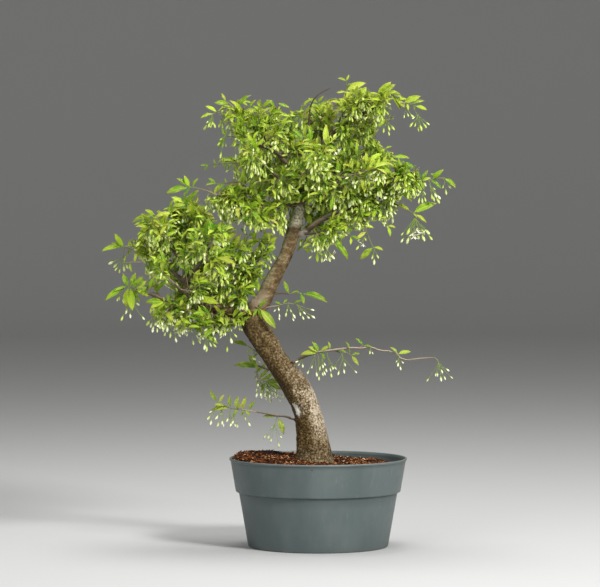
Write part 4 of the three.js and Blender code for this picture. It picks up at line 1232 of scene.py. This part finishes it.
     (0.3, -97, 187), (0.25, -111, 187), (0.5, -106, 205)], [(0.5, 3)]),
    ("low", [(-60, -1, 186), (-57, -3, 184)], [(0, -79, 186), (1, -49, 160)], []),
    ("low", [(-87, 30, 257), (-88, 26, 243), (-81, 24, 236), (-66, 20, 233)], [(0.05, -122, 257),
     (0.15, -101, 274), (0.3, -92, 249), (0.35, -91, 237), (0.5, -69, 252), (0.7, -81, 220),
     (0.8, -53, 223), (0.6, -69, 239), (0.9, -58, 240), (0.3, -72, 259), (0.5, -88, 229), (0.2, -86, 260),
     (0.65, -61, 247), (0.8, -81, 220), (0.75, -49, 231)], [(0.3, 3), (0.7, 5), (0.85, 6), (1, 6)]),
    ("low", [(-81, 20, 272), (-92, 18, 280), (-101, 16, 286)], [(1, -124, 292), (0.8, -102, 275),
     (0.5, -81, 295), (0.3, -95, 266)], [(0.7, 3)]),
    ("low", [(-42, 11, 361), (-30, 12, 363), (-23, 13, 361)], [(1, 14, 348), (0.05, -50, 381),
     (0.9, -20, 345), (0.1, -26, 365)], []),
    ("low", [(-77, -14, 342), (-56, -16, 346), (-43, -18, 349), (-32, -18, 347)], [(0.5, -63, 351),
     (0.9, -23, 353), (0.6, -43, 355)], [(0.5, 1)]),
    ("low", [(-89, -20, 345), (-83, -24, 341)], [(1, -60, 312), (0.8, -94, 328), (0.5, -71, 356),
     (0.8, -80, 325)], [(0.6, 3)]),
]
for part, route, tips, bunches in sprigs:
    line = spaced(curve_through([Vector(p) for p in route]), 3)
    girth_here = 1.2 if (line[-1] - line[0]).length > 30 else 0.9
    stems[part].append((line, [mix(girth_here, 0.55, i / len(line)) for i in range(len(line))]))
    for t, x, z in tips:
        root = line[round(t * (len(line) - 1))]
        tip = Vector((x, root.y + draw.uniform(-7, 5), z))
        seat_leaf(part, root, tip, draw.uniform(0.15, 0.6), placed=True)
    for t, buds in bunches:
        hang_bunch(part, line[round(t * (len(line) - 1))], buds, draw.uniform(5, 9))

fans = [  # cloud, root of the stalk, its end as x and z, and the buds' tips as x and z
    ("crown", (137, -40, 621), (141, 613), [(129, 599), (136, 599), (142, 591), (146, 594), (153, 598),
     (158, 601), (133, 611)]),
    ("crown", (121, -38, 628), (123, 625), [(121, 612), (128, 613), (136, 611)]),
    ("crown", (85, -30, 641), (85, 636), [(83, 621), (93, 616), (92, 630), (87, 624), (100, 616),
     (105, 624), (103, 631)]),
    ("crown", (93, -20, 614), (96, 611), [(101, 595), (108, 595), (101, 587), (92, 590), (95, 601)]),
    ("crown", (121, -42, 526), (124, 519), [(128, 507), (119, 514), (135, 514)]),
    ("crown", (144, -46, 523), (145, 512), [(134, 497), (141, 502), (142, 492), (147, 492), (152, 493),
     (152, 502)]),
    ("crown", (157, -47, 524), (158, 514), [(161, 497), (164, 494), (171, 492), (173, 497), (167, 500),
     (166, 510)]),
    ("crown", (176, -50, 527), (179, 520), [(181, 503), (188, 512), (175, 512)]),
    ("crown", (100, -30, 484), (103, 482), [(106, 470), (110, 476), (99, 467)]),
    ("crown", (137, -35, 476), (136, 469), [(117, 435), (117, 445), (126, 435), (126, 448), (151, 437),
     (151, 446), (158, 447), (162, 439), (130, 441), (143, 439)]),
    ("crown", (78, -34, 429), (79, 425), [(76, 412), (79, 405), (86, 412)]),
    ("crown", (71, -32, 445), (65, 442), [(54, 426), (55, 438), (68, 438)]),
    ("crown", (2, -26, 433), (8, 430), [(24, 411), (5, 408), (17, 408), (-14, 412), (12, 412)]),
    ("crown", (-131, -30, 636), (-135, 632), [(-142, 619), (-137, 618), (-129, 618)]),
    ("crown", (-149, -36, 618), (-151, 614), [(-162, 596), (-159, 604), (-153, 599), (-146, 598)]),
    ("crown", (-130, -50, 586), (-135, 584), [(-140, 580), (-143, 572), (-136, 570), (-130, 571)]),
    ("pad", (-278, 14, 428), (-281, 407), [(-300, 404), (-294, 398), (-291, 394), (-285, 390), (-278, 392),
     (-272, 395)]),
    ("pad", (-286, -46, 369), (-280, 366), [(-285, 353), (-282, 355), (-275, 350)]),
    ("pad", (-269, -46, 366), (-268, 349), [(-279, 326), (-273, 335), (-266, 330), (-252, 346),
     (-246, 326)]),
    ("pad", (-226, -52, 349), (-229, 338), [(-243, 319), (-235, 308), (-228, 307), (-219, 308),
     (-238, 315)]),
    ("pad", (-212, -48, 346), (-207, 323), [(-218, 304), (-210, 301), (-201, 295), (-195, 302)]),
    ("pad", (-187, -40, 337), (-182, 315), [(-187, 302), (-177, 291), (-166, 291), (-170, 300)]),
    ("pad", (-162, -35, 314), (-158, 300), [(-162, 283), (-159, 279), (-151, 286), (-145, 287)]),
    ("pad", (-131, -20, 328), (-128, 311), [(-140, 299), (-130, 280), (-123, 292), (-116, 301)]),
    ("low", (-23, -14, 271), (-23, 268), [(-32, 265), (-29, 259), (-22, 256)]),
    ("low", (-6, -18, 277), (-5, 271), [(-10, 254), (-16, 247), (-2, 245)]),
    ("low", (-2, -19, 278), (1, 265), [(1, 238), (7, 245), (10, 246)]),
    ("low", (4, -20, 280), (5, 271), [(2, 253), (7, 255), (12, 251), (10, 260)]),
    ("low", (11, -21, 282), (14, 270), [(19, 243), (18, 252), (22, 253), (26, 254)]),
    ("low", (31, -23, 284), (35, 271), [(28, 247), (37, 249), (39, 258), (56, 248), (20, 254)]),
    ("low", (74, -24, 287), (74, 284), [(73, 277), (78, 276)]),
    ("low", (112, -26, 277), (115, 272), [(110, 264), (113, 259), (117, 255), (122, 262)]),
    ("low", (170, -27, 267), (171, 262), [(154, 237), (166, 244), (169, 243), (175, 237), (181, 240),
     (177, 249), (187, 252), (191, 242)]),
    ("low", (-143, -12, 206), (-148, 195), [(-156, 192), (-158, 183), (-154, 175)]),
    ("low", (-133, -11, 202), (-139, 195), [(-139, 188), (-147, 182), (-144, 171), (-137, 176),
     (-135, 171)]),
    ("low", (-124, -10, 198), (-127, 191), [(-131, 178), (-124, 174), (-117, 171), (-127, 181)]),
    ("low", (-110, -9, 196), (-107, 192), [(-97, 173), (-103, 181)]),
    ("low", (-59, -3, 186), (-63, 172), [(-79, 153), (-72, 154), (-68, 149), (-56, 143), (-52, 154),
     (-67, 170)]),
    ("low", (-84, 26, 241), (-82, 233), [(-89, 220), (-89, 212), (-81, 209), (-76, 211)]),
    ("low", (-75, 24, 236), (-74, 230), [(-72, 214), (-68, 204), (-64, 210), (-58, 210), (-59, 220),
     (-75, 221)]),
    ("low", (-66, 20, 233), (-63, 227), [(-53, 205), (-48, 211), (-56, 220)]),
    ("low", (-56, -16, 346), (-57, 343), [(-64, 336), (-55, 328), (-56, 338)]),
    ("low", (-44, -17, 348), (-43, 345), [(-47, 328), (-45, 336), (-35, 324), (-37, 335), (-33, 328)]),
    ("low", (-32, -18, 347), (-29, 345), [(-25, 331), (-20, 324), (-18, 333), (-12, 326), (-4, 327),
     (-4, 338)]),
]
blooms = [  # cloud, root of the stalk, its end, and the flowers' tips
    ("crown", (137, -35, 476), (136, 469), [(133, 442), (141, 449), (146, 444), (136, 438)]),
    ("crown", (71, -32, 445), (65, 442), [(58, 432), (63, 430)]),
    ("crown", (2, -26, 433), (8, 430), [(10, 408), (18, 411), (22, 415)]),
    ("crown", (17, -80, 572), (19, 571), [(14, 562), (25, 560), (31, 564)]),
]
for table, seats in ((fans, bud_seats), (blooms, flower_seats)):
    for part, root, (x, z), tips in table:
        root = Vector(root)
        end = Vector((x, root.y - 1, z))
        bend = root.lerp(end, 0.5) + Vector((0.5, 0, 0.5))
        stems[part].append(([root, bend, end], [0.5, 0.45, 0.4]))
        for tip_x, tip_z in tips:
            start = end.lerp(bend, 0.8 * draw.random())
            hang_bud(seats, part, start, Vector((tip_x, root.y + draw.uniform(-6, 6), tip_z)))

openings = [  # gaps that show the wood, what share of them is kept clear, and their outlines, x and z
    (1, [
        (-46, 488), (-17, 487), (-15, 480), (5, 481), (15, 476), (14, 463), (4, 453), (5, 445), (-17, 438),
        (-28, 442), (-41, 444), (-47, 459),
    ]),
    (0.8, [(-103, 358), (-86, 367), (-72, 367), (-69, 353), (-80, 344), (-100, 346)]),
    (0.85, [(-208, 398), (-186, 399), (-180, 380), (-180, 354), (-206, 351), (-220, 362), (-218, 376)]),
    (0.55, [(-180, 352), (-146, 350), (-108, 340), (-96, 328), (-120, 320), (-152, 330), (-178, 340)]),
]
cloud_of = {
    name: "pad" if name.startswith("pad") else "low" if name.endswith("twig") else "crown" for name in limbs
}
for name, (line, radii) in limb_lines.items():
    part = cloud_of[name]
    if part == "low":
        continue
    starts = [("spray_" + name, line[-1], line[-1] - line[-3], 1.5)]
    for n, (t, way) in enumerate(limbs[name][2]):
        k = round(t * (len(line) - 1))
        heading = Vector(way).normalized()
        root = line[k] + heading * (mix(*limbs[name][0], t) + 5)
        starts.append((f"spray_{name}_{n + 2}", root, heading, 1.4))
    for node, root, heading, radius in starts:
        low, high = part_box(node)
        middle = (Vector(low) + Vector(high)) / 2 / MM
        way = heading.normalized() + (middle - root).normalized() * 0.8
        grow_shoot(part, root, way, draw.uniform(34, 48), radius, size=24, tint=0.5, buds=0.5, twigs=3)

for part, count in (("crown", 200), ("pad", 135)):  # inner shoots, each where the cloud is emptiest
    carriers = [line for name, (line, _) in limb_lines.items() if cloud_of[name] == part]
    for _ in range(count):
        choices = []
        for _ in range(TRIES):
            line = draw.choices(carriers, weights=[len(c) for c in carriers])[0]
            root = line[draw.randrange(len(line) // 8, len(line))]
            turn, rise = draw.uniform(0, 2 * math.pi), draw.uniform(-0.7, 1)
            level = math.sqrt(1 - rise * rise)
            heading = Vector((level * math.cos(turn), level * math.sin(turn), rise))
            reach = draw.uniform(24, 44)
            end = root + heading * (reach + 8)
            clear = not hides_trunk(end, 6) and not hides_wood(root.lerp(end, 0.5))
            if inside(end, 10) and depth_in_cloud(part, end) > 3 and clear:
                choices.append((crowd(part, end) + max(0, -rise), root, heading, reach))
        if choices:
            _, root, heading, reach = min(choices, key=lambda choice: choice[0])
            grow_shoot(part, root, heading, reach, radius=1.1, size=20, tint=0.42, buds=0.45, twigs=1)

for part in ("crown", "pad"):
    for seats in (leaf_seats, bud_seats):
        seats[part] = [seat for seat in seats[part] if not hides_wood(seat[0] + seat[1] * seat[3] * 0.6)]
    stems[part] = [
        row for row in stems[part] if row[1][0] > 0.6 or not hides_wood(row[0][len(row[0]) // 2])
    ]


# The young stems: the thin green-brown wood between the limbs and the leaves, and the fine stalks of
# the bunches. Geometry nodes draw a tube along each planned line.
stem_finish, tree, shader = new_material("young_stems", {"Roughness": 0.6})
thick = marked(tree, "thick")
grain = mottled(tree, 60, 700, 0.2)
green_wood = ramp(tree, scaled(tree, thick, 0.0004, 0.0015), [
    (0.0, (0.21, 0.31, 0.035)), (0.25, (0.17, 0.19, 0.03)), (0.55, (0.12, 0.078, 0.035)),
    (1.0, (0.05, 0.03, 0.018)),
])
weather = scaled(tree, soft_patches(tree, 9), 0.44, 0.56, 0, 0.9)
silver = product(tree, weather, scaled(tree, thick, 0.0005, 0.0009))
stem_colour = blended(tree, silver, green_wood, (0.36, 0.29, 0.21))
stem_shade = scaled(tree, grain["Patches"], 0.35, 0.65, 0.4, 0)
tree.links.new(blended(tree, stem_shade, stem_colour, (0.05, 0.035, 0.025)), shader.inputs["Base Color"])

draw_stems, given, result = geometry_tree("stems_along_lines", [("Sides", "Int"), ("Thickness", "Float")])
lines = add(draw_stems, "GeometryNodeMeshToCurve", {"Mesh": given["Geometry"]})
kept = add(draw_stems, "GeometryNodeInputNamedAttribute", {"Name": "thick"}).outputs[0]
ring = add(draw_stems, "GeometryNodeCurvePrimitiveCircle", {"Resolution": given["Sides"], "Radius": 1})
tubes = add(draw_stems, "GeometryNodeCurveToMesh", {
    "Curve": lines.outputs[0], "Profile Curve": ring.outputs[0],
    "Scale": product(draw_stems, kept, given["Thickness"]), "Fill Caps": True,
})
close_tree(draw_stems, tubes.outputs[0], stem_finish, result)

for part in PARTS:
    points, edges, thickness = [], [], []
    for line, radii in stems[part]:
        edges.extend((len(points) + i, len(points) + i + 1) for i in range(len(line) - 1))
        points.extend(p * MM for p in line)
        thickness.extend(r * MM for r in radii)
    twigs = mesh_object(f"stems_{part}", points, [], edges)
    set_marks(twigs.data, "thick", thickness)
    made_by(twigs, draw_stems, {"Sides": 5, "Thickness": 1.0})
    twigs.data.shade_smooth()
    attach(twigs, "root")


# The leaves: opposite pairs of pointed blades on short stalks, folded along the midrib, their tips bent
# down, yellow-green above and paler below. Six shapes are set out on the planned seats.
leaf_stations = [  # share of the length, and half the width as a share of the length
    (0, 0.012), (0.07, 0.014), (0.2, 0.1), (0.38, 0.165), (0.57, 0.166), (0.76, 0.112), (0.91, 0.042),
    (1, 0),
]


def leaf_mesh(i, fold, droop, fullness, wave):
    """One leaf of unit length along +X, upper side up. Its blade is a thin closed sheet."""
    shape = bmesh.new()
    map_layer = shape.loops.layers.uv.new("leaf_map")
    under_layer = shape.faces.layers.float.new("under")
    rows, place, at = [], {}, Vector((0, 0, 0))
    before = 0
    for n, (s, w) in enumerate(leaf_stations):
        angle = droop * (0.4 - s ** 1.5)
        ahead = Vector((math.cos(angle), 0, math.sin(angle)))
        normal = Vector((-math.sin(angle), 0, math.cos(angle)))
        at = at + ahead * (s - before)
        before = s
        half = w * (fullness if n > 1 else 1)
        thick = 0.024 if n < 2 else 0.012
        if w == 0:
            row = [shape.verts.new(at)]
        else:
            lifted = normal * (half * math.sin(fold) + wave * half * (1 if n % 2 else -1))
            wide = Vector((0, half * math.cos(fold), 0))
            section = (at - wide + lifted, at, at + wide + lifted, at - normal * thick)
            row = [shape.verts.new(p) for p in section]
        for vertex, across in zip(row, (0, 0.5, 1, 0.5)):
            place[vertex] = (across if w else 0.5, s)
        rows.append(row)
    for low, high in zip(rows, rows[1:]):
        for j in range(4):
            k = (j + 1) % 4
            corners = dict.fromkeys([low[j], low[k], high[k % len(high)], high[j % len(high)]])
            shape.faces.new(list(corners))[under_layer] = float(j >= 2)
    shape.faces.new(rows[0])
    settle = Matrix.Rotation(math.atan2(at.z, at.x), 4, "Y") @ Matrix.Scale(1 / at.length, 4)
    bmesh.ops.transform(shape, matrix=settle, verts=shape.verts)
    bmesh.ops.recalc_face_normals(shape, faces=shape.faces)
    for face in shape.faces:
        face.smooth = True
        for loop in face.loops:
            loop[map_layer].uv = place[loop.vert]
    for edge in shape.edges:
        edge.smooth = not all(place[v][0] != 0.5 for v in edge.verts)
    mesh = bpy.data.meshes.new(f"leaf_{i}")
    shape.to_mesh(mesh)
    return mesh


leaf_shapes = shape_collection("leaf_shapes", [
    leaf_mesh(i, *values) for i, values in enumerate([
        (0.35, 0.8, 0.92, 0.06), (0.5, 1.1, 0.86, 0.0), (0.25, 0.6, 1.0, 0.1), (0.65, 1.5, 0.84, 0.05),
        (0.4, 0.9, 0.76, 0.12), (0.3, 0.4, 0.86, 0.08),
    ])
])

leaf_finish, tree, shader = new_material("leaves", {
    "Roughness": 0.4, "Specular IOR Level": 0.4, "Specular Tint": (1, 1, 0.3, 1),
    "Subsurface Weight": 0.25, "Subsurface Radius": (0.7, 1.0, 0.08), "Subsurface Scale": 0.0012,
})
tint = marked(tree, "tint")
on_leaf = split(tree, add(tree, "ShaderNodeUVMap", uv_map="leaf_map").outputs[0])
place = object_place(tree)
where = split(tree, place)
blotch = mottled(tree, 55, 400, 0.15)
blade = ramp(tree, tint, [
    (0.0, (0.058, 0.155, 0.003)), (0.3, (0.155, 0.32, 0.006)), (0.6, (0.345, 0.54, 0.022)),
    (0.88, (0.48, 0.59, 0.09)), (1.0, (0.5, 0.46, 0.09)),
])
blade = blended(tree, scaled(tree, where["Z"], 0.31, 0.28, 0, 0.5), blade, (0.23, 0.29, 0.08))
varied = blended(tree, scaled(tree, blotch["Patches"], 0.4, 0.65, 0, 0.35), blade, (0.12, 0.22, 0.006))
each = maths(tree, "FRACT", maths(tree, "MULTIPLY", tint, 41))
hue = maths(tree, "MULTIPLY_ADD", soft_patches(tree, 14), 1.3, each)
deep = blended(tree, scaled(tree, hue, 0.95, 0.65, 0, 0.85), varied, (0.045, 0.185, 0.006))
bronzed = blended(tree, scaled(tree, hue, 1.25, 1.65, 0, 0.5), deep, (0.36, 0.33, 0.045))

# Painted shade makes the leaves deeper green at the trunk's elbow and behind its lean, and painted light
# makes them yellower at the top right.
elbow_far = distance(tree, place, (-0.03, -0.005, 0.338))
shaded = blended(tree, scaled(tree, elbow_far, 0.045, 0.062, 0.75, 0), bronzed, (0.07, 0.19, 0.012))
sun_side = product(
    tree, scaled(tree, where["X"], -0.02, 0.08, 0.4, 1), scaled(tree, where["Z"], 0.55, 0.63, 0, 0.32),
)
shaded = blended(tree, sun_side, shaded, (0.33, 0.34, 0.02))
beside = maths(tree, "ABSOLUTE", maths(tree, "ADD", where["X"], 0.065))
behind = product(tree, scaled(tree, beside, 0.03, 0.04, 0.6, 0), scaled(tree, where["Z"], 0.3, 0.27))
shaded = blended(tree, behind, shaded, (0.06, 0.12, 0.015))

# The midrib and the underside are paler, and the tips are browned.
rib_far = maths(tree, "ABSOLUTE", maths(tree, "SUBTRACT", on_leaf["X"], 0.5))
ribbed = blended(tree, scaled(tree, rib_far, 0, 0.09, 0.5, 0), shaded, (0.6, 0.68, 0.2))
paler = blended(tree, scaled(tree, marked(tree, "under"), 0, 1, 0, 0.45), ribbed, (0.36, 0.44, 0.06))
browned = blended(tree, scaled(tree, on_leaf["Y"], 0.7, 1, 0, 0.55), paler, (0.4, 0.27, 0.06))
tree.links.new(browned, shader.inputs["Base Color"])
veins = maths(tree, "SINE", maths(tree, "MULTIPLY", maths(tree, "SUBTRACT", on_leaf["Y"], rib_far), 70))
raised(tree, shader, 0.25, 0.0004, veins)

set_out, given, result = geometry_tree("shapes_on_seats", [
    ("Shapes", "Collection"), ("Smallest", "Float"), ("Largest", "Float"), ("Seed", "Int"),
    ("Finish", "Material"),
])
kinds = add(set_out, "GeometryNodeCollectionInfo", {
    "Collection": given["Shapes"], "Separate Children": True, "Reset Children": True,
})
turn = add(set_out, "GeometryNodeInputNamedAttribute", {"Name": "turn"}, data_type="FLOAT_VECTOR")
spin = add(set_out, "FunctionNodeEulerToRotation", {0: turn.outputs[0]})
kind = add(set_out, "GeometryNodeInputNamedAttribute", {"Name": "kind"}, data_type="INT")
reach = add(set_out, "GeometryNodeInputNamedAttribute", {"Name": "reach"}, data_type="FLOAT")
full = product(set_out, random_size(set_out, given), reach.outputs[0])
grown = add(set_out, "GeometryNodeInstanceOnPoints", {
    "Points": given["Geometry"], "Instance": kinds.outputs[0], "Pick Instance": True,
    "Instance Index": kind.outputs[0], "Rotation": spin.outputs[0], "Scale": full,
})
close_tree(set_out, grown.outputs[0], given["Finish"], result)


def planted(name, seats, shapes, smallest, largest, finish):
    """Sets shapes out on seats of place, way, upper side, length, kind and tint"""
    host = mesh_object(name, [seat[0] * MM for seat in seats], [])
    turns = []
    for _, way, face, *_ in seats:
        turns.extend(Matrix((way, face.cross(way), face)).transposed().to_euler())
    set_marks(host.data, "turn", turns, "FLOAT_VECTOR")
    set_marks(host.data, "reach", [seat[3] * MM for seat in seats])
    set_marks(host.data, "kind", [seat[4] for seat in seats], "INT")
    set_marks(host.data, "tint", [seat[5] for seat in seats])
    made_by(host, set_out, {
        "Shapes": shapes, "Smallest": smallest, "Largest": largest, "Seed": 2, "Finish": finish,
    })
    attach(host, "root")
    return host


spray_nodes = [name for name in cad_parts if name.startswith("spray_")]
spray_homes = {
    "pad": [n for n in spray_nodes if n.startswith("spray_pad")],
    "low": [n for n in spray_nodes if "_twig" in n],
}
spray_homes["crown"] = [n for n in spray_nodes if n not in spray_homes["pad"] + spray_homes["low"]]
for part in PARTS:
    leaves = planted(f"leaves_{part}", leaf_seats[part], leaf_shapes, 0.96, 1.04, leaf_finish)
    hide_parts(*spray_homes[part])


# The buds: slender cream drops in a green cup, each on its own fine stalk. They hang in fans below the
# leaves. Four shapes differ in how far the stalk bends and how full the drop is.
STALK_STEPS = (0, 0.33, 0.67, 1)
STALK_SIDES = 3
DROP_SIDES = 5


def bud_mesh(i, bend, stalk, belly):
    """One bud of unit length along +X, with its stalk. The attribute along runs from root to tip."""
    points, faces = [], []
    stalk_line = [Vector((stalk * s, 0, -bend * math.sin(math.pi * s))) for s in STALK_STEPS]
    add_tube(points, faces, stalk_line, [0.018, 0.016, 0.016, 0.02], STALK_SIDES)
    drop = [(0, 0.028), (0.16, 0.05), (0.5, belly), (0.8, belly * 0.8), (1, 0.014)]
    drop_line = [Vector((mix(stalk - 0.01, 1, s), 0, 0)) for s, _ in drop]
    add_tube(points, faces, drop_line, [r for _, r in drop], DROP_SIDES)
    marks = [s * 0.5 for s in STALK_STEPS for _ in range(STALK_SIDES)]
    marks += [0.55 + 0.45 * s for s, _ in drop for _ in range(DROP_SIDES)]
    mesh = bpy.data.meshes.new(f"bud_{i}")
    mesh.from_pydata(points, [], faces)
    set_marks(mesh, "along", marks)
    mesh.shade_smooth()
    return mesh


bud_shapes = shape_collection("bud_shapes", [
    bud_mesh(i, *values) for i, values in enumerate([
        (0.03, 0.57, 0.094), (-0.04, 0.61, 0.083), (0.06, 0.54, 0.1), (0.0, 0.64, 0.078),
    ])
])
bud_finish, tree, shader = new_material("buds", {
    "Roughness": 0.45, "Specular IOR Level": 0.3, "Subsurface Weight": 0.2, "Subsurface Radius": (1, 1, 0.5),
    "Subsurface Scale": 0.001,
})
along = marked(tree, "along")
white = ramp(tree, along, [
    (0.0, (0.22, 0.34, 0.03)), (0.5, (0.3, 0.42, 0.045)), (0.6, (0.3, 0.42, 0.05)),
    (0.7, (0.64, 0.72, 0.34)), (0.84, (0.9, 0.91, 0.68)), (1.0, (0.86, 0.89, 0.6)),
])
green = ramp(tree, along, [
    (0.0, (0.2, 0.32, 0.025)), (0.5, (0.28, 0.42, 0.04)), (0.62, (0.3, 0.45, 0.05)),
    (0.78, (0.48, 0.6, 0.12)), (1.0, (0.62, 0.68, 0.2)),
])
ripeness = scaled(tree, marked(tree, "tint"), 0.25, 0.85)
tree.links.new(blended(tree, ripeness, green, white), shader.inputs["Base Color"])
for part in PARTS:
    planted(f"buds_{part}", bud_seats[part], bud_shapes, 0.92, 1.08, bud_finish)


# The open flowers: a few white stars of five narrow petals, low in the crown, each on a bud's stalk
# and facing away from it.
PETALS = 5


def flower_mesh(i, spread, twist):
    """One open flower of unit length along +X, with its stalk and five thick petals"""
    points, faces, marks = [], [], []
    stalk_line = [Vector((0.62 * s, 0, 0.03 * math.sin(math.pi * s))) for s in (0, 0.5, 1)]
    add_tube(points, faces, stalk_line, [0.02, 0.02, 0.03], 3)
    marks += [0.3 * s for s in (0, 0.5, 1) for _ in range(3)]
    for petal in range(PETALS):
        turn = 2 * math.pi * petal / PETALS + twist
        out = Vector((0, math.cos(turn), math.sin(turn)))
        side = Vector((0, -math.sin(turn), math.cos(turn)))
        first = len(points)
        for s, w in ((0, 0.04), (0.35, 0.085), (0.7, 0.09), (1, 0.025)):
            bend = spread * (0.35 + 0.65 * s)
            ahead = out * math.sin(bend) + Vector((math.cos(bend), 0, 0))
            middle = Vector((0.64, 0, 0)) + ahead * 0.42 * s
            thick = Vector((0.02, 0, 0))
            points.extend((middle - side * w, middle + thick, middle + side * w, middle - thick))
            marks.extend([0.5 + 0.5 * s] * 4)
        tube_faces(faces, first, 4, 4)
    mesh = bpy.data.meshes.new(f"flower_{i}")
    mesh.from_pydata(points, [], faces)
    set_marks(mesh, "along", marks)
    shape = bmesh.new()
    shape.from_mesh(mesh)
    bmesh.ops.recalc_face_normals(shape, faces=shape.faces)
    shape.to_mesh(mesh)
    mesh.shade_smooth()
    return mesh


flower_shapes = shape_collection("flower_shapes", [
    flower_mesh(i, *values) for i, values in enumerate([(1.2, 0), (0.8, 0.5), (1.5, 0.9), (0.5, 0.3)])
])
petal_finish, tree, shader = new_material("petals", {
    "Roughness": 0.55, "Subsurface Weight": 0.2, "Subsurface Scale": 0.001,
})
petal_colour = ramp(tree, marked(tree, "along"), [
    (0.0, (0.24, 0.36, 0.05)), (0.42, (0.34, 0.46, 0.08)), (0.55, (0.72, 0.72, 0.4)),
    (0.75, (0.82, 0.8, 0.66)),
])
tree.links.new(petal_colour, shader.inputs["Base Color"])
planted("flowers_crown", flower_seats["crown"], flower_shapes, 0.9, 1.1, petal_finish)
